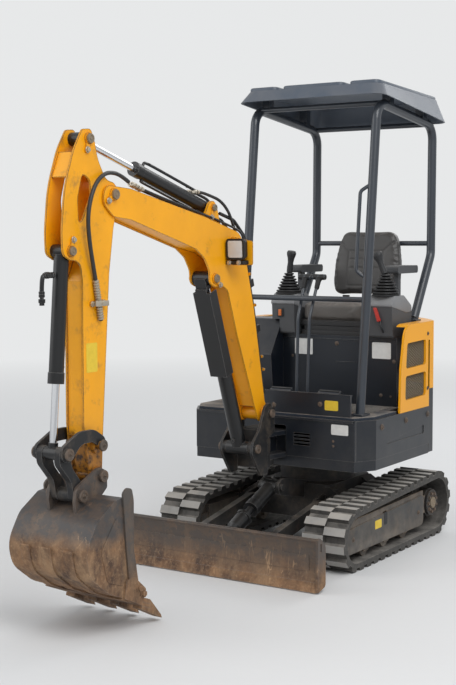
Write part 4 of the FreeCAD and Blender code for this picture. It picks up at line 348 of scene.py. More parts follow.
def edge_wear_group():
    """Broken band along edges, where paint is rubbed through."""
    tree, given = new_group("edge wear", [("Width", 0.004), ("Breakup", 40.0), ("Amount", 0.5)], ["Mask"])
    rounded = add(tree, "ShaderNodeBevel", {"Radius": given["Width"]}, samples=4).outputs["Normal"]
    flat = add(tree, "ShaderNodeNewGeometry").outputs["Normal"]
    dot = add(tree, "ShaderNodeVectorMath", {0: rounded, 1: flat}, operation="DOT_PRODUCT").outputs["Value"]
    bend = calc(tree, "SUBTRACT", 1.0, dot)
    broken = calc(tree, "MULTIPLY", bend, calc(tree, "MULTIPLY", noise(tree, given["Breakup"], 6.0, 0.7), 2.4))
    start = calc(tree, "SUBTRACT", 0.34, calc(tree, "MULTIPLY", given["Amount"], 0.32))
    finish_group(tree, Mask=band(tree, broken, start, calc(tree, "ADD", start, 0.05)))


def dust_group():
    """Dust on faces that look up, and splashed dirt that fades with height."""
    tree, given = new_group("settled dust", [("Upward", 0.4), ("Splash", 0.0), ("Splash top", 0.5), ("Breakup", 7.0)],
                            ["Mask"])
    coords = add(tree, "ShaderNodeTexCoord")
    facing_up = add(tree, "ShaderNodeSeparateXYZ", {0: coords.outputs["Normal"]}).outputs["Z"]
    height = add(tree, "ShaderNodeSeparateXYZ", {0: coords.outputs["Object"]}).outputs["Z"]
    patches = noise(tree, given["Breakup"], 7.0, 0.65)
    upward = calc(tree, "MULTIPLY", band(tree, facing_up, 0.25, 0.95), given["Upward"])
    low = calc(tree, "SUBTRACT", 1.0, calc(tree, "DIVIDE", height, given["Splash top"]), clamp=True)
    splash = calc(tree, "MULTIPLY", low, given["Splash"])
    both = calc(tree, "ADD", upward, splash)
    broken = calc(tree, "MULTIPLY", both, band(tree, patches, 0.30, 0.66))
    finish_group(tree, Mask=calc(tree, "MINIMUM", broken, 1.0))


def scratches_group():
    """Thin scratches that run mostly one way."""
    tree, given = new_group("scratches", [("Scale", 26.0), ("Amount", 0.4)], ["Mask"])
    lines = noise(tree, given["Scale"], 3.0, 0.5, stretch=(1.0, 0.9, 0.12), warp=0.4)
    near = calc(tree, "ABSOLUTE", calc(tree, "SUBTRACT", lines, 0.5))
    thin = calc(tree, "SUBTRACT", 1.0, band(tree, near, 0.002, 0.012))
    where = band(tree, noise(tree, 4.0, 4.0), 0.56, 0.66)
    finish_group(tree, Mask=calc(tree, "MULTIPLY", calc(tree, "MULTIPLY", thin, where), given["Amount"]))


def rust_group():
    """Rust in three browns, with its height."""
    tree, given = new_group("rust", [("Scale", 9.0)], ["Color", "Height"])
    broad = noise(tree, given["Scale"], 8.0, 0.7)
    fine = noise(tree, calc(tree, "MULTIPLY", given["Scale"], 11.0), 4.0, 0.7)
    streaks = noise(tree, 30.0, 3.0, 0.6, stretch=(1.0, 1.0, 0.10))
    first = mix(tree, band(tree, broad, 0.36, 0.62), RUST_DARK, RUST_MID)
    second = mix(tree, calc(tree, "MULTIPLY", band(tree, fine, 0.52, 0.70), 0.55), first, RUST_PALE)
    third = mix(tree, calc(tree, "MULTIPLY", band(tree, streaks, 0.56, 0.72), 0.35), second, RUST_PALE)
    finish_group(tree, Color=third, Height=calc(tree, "ADD", fine, calc(tree, "MULTIPLY", broad, 1.5)))


def grain_group():
    """Fine pebbled grain as a height."""
    tree, given = new_group("grain", [("Scale", 700.0)], ["Height"])
    vector = add(tree, "ShaderNodeTexCoord").outputs["Object"]
    cells = add(tree, "ShaderNodeTexVoronoi", {"Vector": vector, "Scale": given["Scale"]}, feature="SMOOTH_F1")
    finish_group(tree, Height=cells.outputs["Distance"])


def new_material(name):
    """Empty material; returns its tree and its shader node."""
    material = bpy.data.materials.new(name)
    material.use_nodes = True
    tree = material.node_tree
    return tree, tree.nodes["Principled BSDF"]


def set_bump(tree, shader, height, strength, depth_mm):
    """Joins a height to the shader's normal."""
    links = {"Strength": strength, "Distance": depth_mm * MM, "Height": height}
    tree.links.new(add(tree, "ShaderNodeBump", links).outputs["Normal"], shader.inputs["Normal"])


def shade(colour, factor):
    """A colour made darker or lighter."""
    return tuple(min(1.0, c * factor) for c in colour[:3]) + (1.0,)


def painted(name, colour, rough=0.38, wear=0.45, dust=0.25, splash=0.0, splash_top=0.6, coat=0.25, under=PRIMER,
            clouds=0.12, edge=0.0035, scuffs=0.35, grime=0.0, shine=0.5, rust_top=0.0):
    """Paint that is chipped along its edges, scuffed and dusty."""
    tree, shader = new_material(name)
    cloud = use(tree, "mottle", "Value", Scale=2.6, Contrast=1.0)
    speck = use(tree, "mottle", "Value", Scale=46.0, Contrast=0.8)
    tone = mix(tree, cloud, shade(colour, 1.0 - clouds), shade(colour, 1.0 + clouds * 0.7))
    tone = mix(tree, calc(tree, "MULTIPLY", speck, clouds * 0.7), tone, shade(colour, 0.8))
    if grime:
        dirty = band(tree, noise(tree, 11.0, 7.0, 0.7), 0.62 - 0.3 * grime, 0.86 - 0.3 * grime)
        tone = mix(tree, calc(tree, "MULTIPLY", dirty, 0.75), tone, shade(MUD, 0.5))
    scuff = use(tree, "scratches", "Mask", Scale=30.0, Amount=scuffs)
    tone = mix(tree, scuff, tone, shade(colour, 1.9))
    chips = use(tree, "edge wear", "Mask", Width=edge, Breakup=55.0, Amount=wear)
    tone = mix(tree, chips, tone, under)
    dirt = use(tree, "settled dust", "Mask", Upward=dust, Splash=splash, Splash_top=splash_top, Breakup=8.0)
    tone = mix(tree, dirt, tone, mix(tree, cloud, DUST, shade(MUD, 1.7)))
    if rust_top:
        height = add(tree, "ShaderNodeSeparateXYZ", {0: add(tree, "ShaderNodeTexCoord").outputs["Object"]}).outputs["Z"]
        ragged = calc(tree, "ADD", height, calc(tree, "MULTIPLY", noise(tree, 16.0, 7.0, 0.7), 0.22))
        rusty = calc(tree, "SUBTRACT", 1.0, band(tree, ragged, rust_top, rust_top + 0.06))
        tone = mix(tree, calc(tree, "MULTIPLY", rusty, 0.85), tone, RUST_STAIN)
        spots = band(tree, noise(tree, 30.0, 6.0, 0.7), 0.46, 0.60)
        tone = mix(tree, calc(tree, "MULTIPLY", rusty, spots), tone, shade(RUST_DARK, 0.7))
    shader.inputs["Specular IOR Level"].default_value = shine
    tree.links.new(tone, shader.inputs["Base Color"])
    dull = calc(tree, "ADD", rough, calc(tree, "MULTIPLY", cloud, 0.10))
    dull = calc(tree, "ADD", dull, calc(tree, "MULTIPLY", calc(tree, "MAXIMUM", dirt, chips), 0.42), clamp=True)
    tree.links.new(dull, shader.inputs["Roughness"])
    clean = calc(tree, "SUBTRACT", 1.0, calc(tree, "MAXIMUM", dirt, chips), clamp=True)
    tree.links.new(calc(tree, "MULTIPLY", clean, coat), shader.inputs["Coat Weight"])
    shader.inputs["Coat Roughness"].default_value = 0.22
    peel = noise(tree, 260.0, 2.0, 0.5)
    height = calc(tree, "SUBTRACT", calc(tree, "MULTIPLY", peel, 0.22), calc(tree, "MULTIPLY", chips, 1.0))
    set_bump(tree, shader, calc(tree, "ADD", height, calc(tree, "MULTIPLY", dirt, 0.3)), 0.35, 0.5)


def rusted(name, paint, paint_low, paint_high, shine=0.4, mud=0.35):
    """Worn steel that keeps some paint high up and turns to rust and mud below."""
    tree, shader = new_material(name)
    rust = use(tree, "rust", "Color", Scale=8.0)
    relief = use(tree, "rust", "Height", Scale=8.0)
    height = add(tree, "ShaderNodeSeparateXYZ", {0: add(tree, "ShaderNodeTexCoord").outputs["Object"]}).outputs["Z"]
    edge = calc(tree, "ADD", height, calc(tree, "MULTIPLY", noise(tree, 6.0, 7.0, 0.7), 0.12))
    kept = band(tree, edge, paint_low, paint_high)
    patch = band(tree, noise(tree, 22.0, 6.0, 0.7), 0.40, 0.52)
    kept = calc(tree, "MULTIPLY", kept, calc(tree, "MAXIMUM", patch, 0.82))
    bare = calc(tree, "SUBTRACT", 1.0, calc(tree, "MULTIPLY", kept, 0.85))
    tone = mix(tree, kept, rust, paint)
    smear = band(tree, noise(tree, 5.0, 8.0, 0.72, stretch=(1.0, 1.0, 0.5)), 0.50, 0.70)
    tone = mix(tree, calc(tree, "MULTIPLY", calc(tree, "MULTIPLY", smear, bare), mud), tone, shade(RUST_PALE, 1.1))
    dark = band(tree, noise(tree, 3.2, 6.0, 0.6), 0.52, 0.70)
    tone = mix(tree, calc(tree, "MULTIPLY", dark, 0.22), tone, shade(RUST_DARK, 0.9))
    lines = use(tree, "scratches", "Mask", Scale=22.0, Amount=0.55)
    tone = mix(tree, lines, tone, shade(RUST_PALE, 1.6))
    bright = use(tree, "edge wear", "Mask", Width=0.005, Breakup=30.0, Amount=0.48)
    tone = mix(tree, calc(tree, "MULTIPLY", bright, shine * 0.8), tone, shade(STEEL, 0.6))
    tree.links.new(tone, shader.inputs["Base Color"])
    tree.links.new(calc(tree, "MULTIPLY", bright, shine * 0.8), shader.inputs["Metallic"])
    rough = calc(tree, "SUBTRACT", 0.74, calc(tree, "MULTIPLY", kept, 0.24))
    tree.links.new(calc(tree, "SUBTRACT", rough, calc(tree, "MULTIPLY", bright, 0.25)), shader.inputs["Roughness"])
    set_bump(tree, shader, relief, 0.5, 0.8)


def rubbery(name, colour, dusty=0.6, rough=0.78, grain=380.0, splash=0.4):
    """Rubber with a dry film of dust."""
    tree, shader = new_material(name)
    cloud = use(tree, "mottle", "Value", Scale=7.0, Contrast=1.2)
    fine = use(tree, "mottle", "Value", Scale=60.0, Contrast=1.0)
    film = use(tree, "settled dust", "Mask", Upward=dusty, Splash=splash, Splash_top=0.8, Breakup=12.0)
    tone = mix(tree, cloud, shade(colour, 0.78), shade(colour, 1.25))
    tone = mix(tree, calc(tree, "MULTIPLY", fine, 0.25 * dusty), tone, DUST)
    tone = mix(tree, film, tone, DUST)
    rub = use(tree, "edge wear", "Mask", Width=0.006, Breakup=26.0, Amount=0.55)
    tone = mix(tree, calc(tree, "MULTIPLY", rub, 0.5 * dusty), tone, shade(DUST, 1.25))
    tree.links.new(tone, shader.inputs["Base Color"])
    shader.inputs["Roughness"].default_value = rough
    height = calc(tree, "ADD", noise(tree, grain, 4.0, 0.7), calc(tree, "MULTIPLY", film, 1.2))
    set_bump(tree, shader, height, 0.4, 0.6)


def plastic(name, colour, rough=0.5, grain=900.0, dust=0.2):
    """Moulded plastic with a fine leathery grain."""
    tree, shader = new_material(name)
    cloud = use(tree, "mottle", "Value", Scale=9.0, Contrast=0.9)
    tone = mix(tree, cloud, shade(colour, 0.88), shade(colour, 1.12))
    rub = use(tree, "edge wear", "Mask", Width=0.003, Breakup=60.0, Amount=0.35)
    tone = mix(tree, calc(tree, "MULTIPLY", rub, 0.35), tone, shade(colour, 2.4))
    film = use(tree, "settled dust", "Mask", Upward=dust, Splash=0.0, Breakup=10.0)
    tone = mix(tree, film, tone, DUST)
    tree.links.new(tone, shader.inputs["Base Color"])
    dull = calc(tree, "ADD", rough, calc(tree, "MULTIPLY", film, 0.4), clamp=True)
    tree.links.new(calc(tree, "ADD", dull, calc(tree, "MULTIPLY", cloud, 0.08)), shader.inputs["Roughness"])
    set_bump(tree, shader, use(tree, "grain", "Height", Scale=grain), 0.25, 0.25)


def vinyl(name, colour, worn):
    """Upholstery vinyl with a leather grain, paler where it is sat on."""
    tree, shader = new_material(name)
    cloud = use(tree, "mottle", "Value", Scale=7.0, Contrast=1.1)
    tone = mix(tree, cloud, shade(colour, 0.85), shade(colour, 1.15))
    rubbed = use(tree, "settled dust", "Mask", Upward=worn, Splash=0.0, Breakup=5.0)
    tone = mix(tree, rubbed, tone, (0.27, 0.235, 0.205, 1.0))
    tree.links.new(tone, shader.inputs["Base Color"])
    tree.links.new(calc(tree, "ADD", 0.42, calc(tree, "MULTIPLY", rubbed, 0.3)), shader.inputs["Roughness"])
    shader.inputs["Sheen Weight"].default_value = 0.08
    creases = noise(tree, 38.0, 5.0, 0.62, warp=0.6)
    height = calc(tree, "ADD", use(tree, "grain", "Height", Scale=620.0), calc(tree, "MULTIPLY", creases, 1.6))
    set_bump(tree, shader, height, 0.3, 0.45)


def metal(name, colour, rough, spots=0.25, scale=60.0, metallic=1.0):
    """Bare or plated metal with dull spots and a fine bumpy grain."""
    tree, shader = new_material(name)
    spot = use(tree, "mottle", "Value", Scale=scale, Contrast=1.2)
    cloud = use(tree, "mottle", "Value", Scale=5.0, Contrast=0.8)
    dull = calc(tree, "MULTIPLY", calc(tree, "MULTIPLY", spot, cloud), spots)
    tree.links.new(mix(tree, dull, colour, shade(RUST_MID, 0.9)), shader.inputs["Base Color"])
    tree.links.new(calc(tree, "SUBTRACT", metallic, dull, clamp=True), shader.inputs["Metallic"])
    tree.links.new(calc(tree, "ADD", rough, calc(tree, "MULTIPLY", dull, 0.5), clamp=True), shader.inputs["Roughness"])
    set_bump(tree, shader, noise(tree, 420.0, 3.0, 0.5), 0.12, 0.15)


def label_film(name, colour):
    """Blank sticker film with a little grime."""
    tree, shader = new_material(name)
    cloud = use(tree, "mottle", "Value", Scale=40.0, Contrast=1.2)
    tone = mix(tree, calc(tree, "MULTIPLY", cloud, 0.3), colour, shade(colour, 0.62))
    tree.links.new(tone, shader.inputs["Base Color"])
    tree.links.new(calc(tree, "ADD", 0.32, calc(tree, "MULTIPLY", cloud, 0.2)), shader.inputs["Roughness"])


def lens_glass(name):
    """Clear ribbed lamp glass."""
    tree, shader = new_material(name)
    shader.inputs["Base Color"].default_value = (0.80, 0.82, 0.83, 1.0)
    shader.inputs["Roughness"].default_value = 0.12
    shader.inputs["Transmission Weight"].default_value = 0.30
    shader.inputs["IOR"].default_value = 1.46
    vector = add(tree, "ShaderNodeTexCoord").outputs["Object"]
    ribs = add(tree, "ShaderNodeTexWave", {"Vector": vector, "Scale": 60.0}, bands_direction="X").outputs[1]
    set_bump(tree, shader, ribs, 0.5, 0.8)


def make_materials(paint):
    """Every finish of the machine, from the colours in the panel."""
    for group in (mottle_group, edge_wear_group, dust_group, scratches_group, rust_group, grain_group):
        group()
    yellow = tuple(paint.yellow) + (1.0,)
    charcoal = tuple(paint.charcoal) + (1.0,)
    tube = tuple(paint.canopy) + (1.0,)
    gear = tuple(paint.gear) + (1.0,)
    painted("yellow paint", yellow, wear=0.88, dust=0.05, splash=0.10, splash_top=0.9, clouds=0.12, scuffs=0.10,
            rough=0.30, edge=0.006, coat=0.12, shine=0.32, grime=0.10)
    painted("hood yellow", yellow, wear=0.35, dust=0.12, clouds=0.06, scuffs=0.06, rough=0.28, edge=0.003, coat=0.15,
            shine=0.35)
    painted("arm yellow", yellow, wear=0.92, dust=0.06, splash=0.15, splash_top=1.2, clouds=0.14, scuffs=0.22,
            rough=0.34, edge=0.007, coat=0.12, shine=0.32, grime=0.22, rust_top=0.86)
    painted("charcoal paint", charcoal, wear=0.36, dust=0.16, splash=0.12, splash_top=0.9, clouds=0.20, scuffs=0.16,
            under=shade(STEEL, 0.42), rough=0.34, coat=0.18, shine=0.42)
    painted("canopy paint", tube, wear=0.30, dust=0.14, clouds=0.10, rough=0.32, coat=0.35, scuffs=0.14,
            under=shade(STEEL, 0.5))
    # Roof plastic is the canopy colour made 2.7 times lighter: a painted highlight that stands in for the sky light on
    # the roof's top.
    painted("roof plastic", shade(tube, 2.7), wear=0.22, dust=0.3, clouds=0.10, rough=0.42, coat=0.12, scuffs=0.1,
            under=shade(tube, 2.0))
    painted("cylinder paint", shade(gear, 0.5), wear=0.45, dust=0.08, clouds=0.20, rough=0.34, coat=0.2, scuffs=0.35,
            under=shade(STEEL, 0.5), shine=0.4)
    painted("gear paint", gear, wear=0.50, dust=0.22, splash=0.15, clouds=0.25, rough=0.5, coat=0.05, scuffs=0.3,
            grime=0.45, under=shade(STEEL, 0.45), shine=0.4)
    painted("frame paint", shade(gear, 2.2), wear=0.55, dust=0.5, splash=0.75, splash_top=0.5, clouds=0.3, rough=0.62,
            coat=0.0, scuffs=0.4, grime=0.95, under=shade(RUST_PALE, 0.9))
    painted("floor paint", shade(charcoal, 2.2), wear=0.6, dust=0.85, clouds=0.2, rough=0.6, coat=0.0, scuffs=0.4,
            under=shade(STEEL, 0.6))
    rusted("bucket steel", (0.056, 0.050, 0.048, 1.0), 0.44, 0.49, mud=0.75)
    rusted("strip steel", (0.072, 0.062, 0.055, 1.0), 0.26, 0.34, shine=0.5, mud=0.35)
    painted("cover paint", (0.040, 0.041, 0.042, 1.0), wear=0.5, dust=0.2, splash=0.75, splash_top=0.26, clouds=0.25,
            rough=0.55, coat=0.0, scuffs=0.5, grime=0.5, under=shade(RUST_PALE, 0.9), rust_top=0.10)
    rusted("blade steel", (0.078, 0.062, 0.052, 1.0), 0.10, 0.22, mud=0.45)
    rusted("worn edge", (0.10, 0.085, 0.075, 1.0), 0.9, 1.2, shine=0.75, mud=0.6)
    rubbery("track rubber", (0.024, 0.023, 0.022, 1.0), dusty=0.42, splash=0.10)
    rubbery("lug tips", (0.300, 0.295, 0.285, 1.0), dusty=1.0, splash=0.35)
    rubbery("hose rubber", (0.014, 0.014, 0.015, 1.0), dusty=0.14, rough=0.5, splash=0.1)
    rubbery("mat rubber", (0.06, 0.058, 0.055, 1.0), dusty=0.7, splash=0.0)
    plastic("dark plastic", (0.016, 0.017, 0.019, 1.0), rough=0.45, dust=0.12)
    plastic("grey plastic", (0.205, 0.208, 0.214, 1.0), rough=0.5)
    plastic("console plastic", (0.060, 0.062, 0.066, 1.0), rough=0.5)
    plastic("boot rubber", (0.008, 0.008, 0.009, 1.0), rough=0.50, dust=0.06)
    plastic("mesh black", (0.24, 0.20, 0.14, 1.0), rough=0.55, dust=0.1)
    plastic("red plastic", (0.45, 0.03, 0.02, 1.0), rough=0.4)
    plastic("orange plastic", (0.65, 0.16, 0.03, 1.0), rough=0.4)
    vinyl("seat vinyl", (0.050, 0.047, 0.045, 1.0), 0.28)
    vinyl("cushion vinyl", (0.085, 0.076, 0.068, 1.0), 0.75)
    metal("rod chrome", (0.80, 0.81, 0.83, 1.0), 0.12, spots=0.05)
    metal("zinc", (0.50, 0.46, 0.38, 1.0), 0.34, spots=0.45, metallic=0.75)
    metal("bolt steel", (0.115, 0.100, 0.088, 1.0), 0.48, spots=0.7, metallic=0.6)
    metal("pin steel", (0.27, 0.23, 0.17, 1.0), 0.44, spots=0.8, scale=35.0, metallic=0.7)
    metal("reflector", (0.90, 0.90, 0.90, 1.0), 0.14, spots=0.0)
    label_film("white film", (0.72, 0.72, 0.70, 1.0))
    label_film("yellow film", (0.80, 0.56, 0.035, 1.0))
    label_film("print grey", (0.10, 0.10, 0.10, 1.0))
    lens_glass("lamp glass")


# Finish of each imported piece
NODE_FINISH = {
    "yellow paint": ["boom"],
    "arm yellow": ["arm"],
    "hood yellow": ["engine_hood"],
    "charcoal paint": ["deck_frame", "counterweight", "front_cover", "side_skirt_left", "side_skirt_right", "hood_top",
                       "seat_box", "right_cover", "kick_panel"],
    "canopy paint": ["canopy_frame", "floor_controls"],
    "roof plastic": ["canopy_roof"],
    "cylinder paint": ["boom_cyl_barrel", "boom_cyl_guard", "arm_cyl_barrel", "bucket_cyl_barrel", "blade_cyl_barrel",
                       "boom_pipes", "blade_cyl_rod"],
    "gear paint": ["swing_bracket", "guide_links", "bucket_link", "car_body", "slew_ring", "blade_arms", "engine_block",
                   "seat_base", "sprocket_left", "sprocket_right"],
    "frame paint": ["track_frame_left", "track_frame_right"],
    "floor paint": ["floor_plate"],
    "bucket steel": ["bucket_shell"],
    "blade steel": ["blade_board"],
    "worn edge": ["blade_edge", "bucket_teeth"],
    "rod chrome": ["boom_cyl_rod", "arm_cyl_rod", "bucket_cyl_rod"],
    "track rubber": ["track_left", "track_right"],
    "console plastic": ["console_left", "console_right"],
    "dark plastic": ["hood_grilles", "joysticks", "work_lamp"],
    "seat vinyl": ["seat_back"],
    "cushion vinyl": ["seat_cushion"],
}


ROD_EYES = {"boom_cyl_rod": BOOM_CYL_EYE, "arm_cyl_rod": ARM_CYL_EYE, "bucket_cyl_rod": BUCKET_CYL_EYE}


TRACK_ENDS = ((-553.0, 152.0, 152.0), (353.0, 172.0, 172.0))  # y, z and radius over the lugs at each end


def on_track_rim(point, normal):
    """Whether a face lies on the track's outermost outline."""
    if abs(normal.x) > 0.5:
        return False
    reach = max((y * MM + AXIS_Y) * normal.y + z * MM * normal.z + r * MM for y, z, r in TRACK_ENDS)
    return reach - point.y * normal.y - point.z * normal.z < 3.0 * MM


def dress_nodes():
    """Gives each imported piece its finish."""
    finish_of = {node: finish for finish, nodes in NODE_FINISH.items() for node in nodes}
    missing = sorted(set(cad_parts) - set(finish_of))
    if missing:
        raise RuntimeError("no finish for %s" % missing)
    for node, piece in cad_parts.items():
        piece.data.materials.clear()
        piece.data.materials.append(bpy.data.materials[finish_of[node]])
    for node in ("track_left", "track_right"):
        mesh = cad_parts[node].data
        mesh.materials.append(bpy.data.materials["lug tips"])
        for face in mesh.polygons:
            face.material_index = 1 if on_track_rim(face.center, face.normal) else 0
    for node, eye in ROD_EYES.items():
        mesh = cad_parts[node].data
        mesh.materials.append(bpy.data.materials["cylinder paint"])
        for face in mesh.polygons:
            middle = sum((mesh.vertices[i].co for i in face.vertices), Vector()) / len(face.vertices)
            reach = math.hypot(middle.y - AXIS_Y - eye[0] * MM, middle.z - eye[1] * MM)
            face.material_index = 1 if reach < 46.0 * MM else 0


# Fittings

def curve_tube(points, radius, sides=4):
    """Mesh of a round tube on a smooth curve through the neighbourhood of (x, y, z) points."""
    route = bpy.data.curves.new("route", "CURVE")
    route.dimensions = "3D"
    route.bevel_depth = radius * MM
    route.bevel_resolution = sides
    route.use_fill_caps = True
    route.resolution_u = 6
    spline = route.splines.new("NURBS")
    spline.points.add(len(points) - 1)
    for slot, point in zip(spline.points, points):
        slot.co = tuple(at(*point)) + (1.0,)
    spline.order_u = 3
    spline.use_endpoint_u = True
    holder = bpy.data.objects.new("route", route)
    mesh = bpy.data.meshes.new_from_object(holder)
    bpy.data.objects.remove(holder)
    bpy.data.curves.remove(route)
    return mesh


def hose_fitting(shape, radius):
    """Crimped sleeve, nut and stub of a hose end, standing on Z = 0."""
    r = radius
    turn_profile(shape, [(0, 0), (r * 1.35, 0), (r * 1.35, r * 0.9), (r * 1.2, r * 1.1), (r * 1.35, r * 1.3),
                         (r * 1.35, r * 2.4), (r * 0.9, r * 2.6), (r * 0.9, r * 3.2), (r * 1.5, r * 3.2),
                         (r * 1.5, r * 4.8), (r * 1.1, r * 5.0), (r * 1.1, r * 6.0), (0, r * 6.0)], 14)


def spring_armour(shape, length):
    """Coiled steel guard over a hose, as close rings, standing on Z = 0."""
    turns = int(length // 11)
    rows = [(8.8, 0.0)]
    for i in range(turns):
        rows += [(13.6, 11.0 * i + 2.0), (14.0, 11.0 * i + 6.0), (9.6, 11.0 * i + 8.4)]
    rows.append((8.8, 11.0 * turns))
    turn_profile(shape, rows, 14)


PIN_ENDS = (  # body, pin, half width over the pin's ends, radius, angle of its keeper
    ("boom", ARM_PIVOT, 68.0, 21.0, 215.0),
    ("boom", BOOM_CYL_EYE, 67.0, 19.0, 320.0),
    ("boom", ARM_CYL_BASE, 52.0, 16.0, 250.0),
    ("arm", ARM_CYL_EYE, 56.0, 20.0, 255.0),
    ("arm", BUCKET_CYL_BASE, 56.0, 18.0, 75.0),
    ("guide", GUIDE_PIN, 84.0, 24.0, None),
    ("bucket", BUCKET_PIN, 83.0, 25.0, None),
    ("bucket", LINK_PIN, 83.0, 25.0, None),
    ("guide", BUCKET_CYL_EYE, 83.0, 25.0, None),
    ("swing_post", FOOT, 103.0, 21.0, 60.0),
    ("swing_post", BOOM_CYL_BASE, 101.0, 22.0, None),
)


def make_pin_ends():
    """Collars, keepers, bolts and grease nipples on the ends of the pins."""
    shapes = {}
    for body, pin, half, radius, angle in PIN_ENDS:
        shape = shapes.setdefault(body, bmesh.new())
        for side in (-1.0, 1.0):
            out = (side, 0.0, 0.0)
            add_copy(shape, element(pin_collar, radius, 8.0), facing((side * half, *pin), out), 0)
            if angle is None:
                add_copy(shape, element(grease_nipple, 13.0), facing((side * (half + 6.0), *pin), out), 1)
                continue
            y, z = math.cos(math.radians(angle)), math.sin(math.radians(angle))
            middle = (side * (half - 9.0), pin[0] + 33.0 * y, pin[1] + 33.0 * z)
            add_copy(shape, element(keeper_plate, 54.0, 22.0), facing(middle, out, (0.0, -z, y)), 2)
            bolt = (side * (half - 3.5), pin[0] + 46.0 * y, pin[1] + 46.0 * z)
            add_copy(shape, element(hex_bolt, 17.0), facing(bolt, out), 1)
    for body, shape in shapes.items():
        metals = ("pin steel", "zinc", "yellow paint") if body in ("boom", "arm") else ("bolt steel", "bolt steel", "gear paint")
        finish_piece("pin_ends_" + body, shape, body, metals)


BOOM_LINES = (  # x, y, z along two steel lines on the boom's left edge
    ((50, -1668, 1812), (50, -1630, 1801), (50, -1560, 1782), (50, -1400, 1746), (50, -1220, 1708), (52, -1150, 1692),
     (53, -1080, 1677), (53, -960, 1648), (53, -880, 1628), (53, -826, 1606), (52, -806, 1556), (50, -788, 1490),
     (50, -750, 1350), (50, -718, 1242), (50, -690, 1110), (50, -664, 990), (50, -640, 880), (48, -622, 830)),
    ((36, -1668, 1810), (36, -1630, 1799), (36, -1560, 1780), (36, -1400, 1744), (36, -1250, 1712), (34, -1180, 1697)),
)
BASE_HOSES = (
    ((18, -1150, 1792), (20, -1110, 1790), (26, -1050, 1776), (34, -985, 1758), (40, -930, 1716), (42, -896, 1664),
     (42, -862, 1600), (40, -812, 1545), (36, -785, 1480)),
    ((-18, -1150, 1792), (-20, -1110, 1790), (-26, -1050, 1776), (-34, -985, 1762), (-40, -928, 1722),
     (-42, -890, 1668), (-42, -855, 1602), (-40, -806, 1545), (-36, -780, 1480)),
)
ARM_CYL_LINE = ((10, -1540, 1880), (10, -1537, 1902), (10, -1515, 1905), (10, -1340, 1854), (10, -1170, 1804),
                (12, -1130, 1790))
BUCKET_PORT = ((0, -2112, 1446), (0, -2165, 1446), (0, -2178, 1436), (0, -2180, 1384))
BOOM_CLAMPS = ((-779.0, 1414.0), (-735.0, 1265.0), (-672.0, 1014.0), (-656.0, 950.0))  # y, z on the rear edge
LOOP_HOSE = (  # from the boom's fitting over the pivot to the arm's clamp
    (50, -1690, 1818), (51, -1722, 1834), (55, -1785, 1852), (62, -1860, 1848), (72, -1930, 1808), (76, -1972, 1740),
    (77, -1990, 1665), (74, -1978, 1580), (66, -1952, 1505), (59, -1928, 1440), (58, -1905, 1350), (57, -1890, 1258))
ARMOUR_LOW = (57.0, -1890.0, 1262.0)
ARMOUR_HIGH = (58.5, -1924.0, 1428.0)


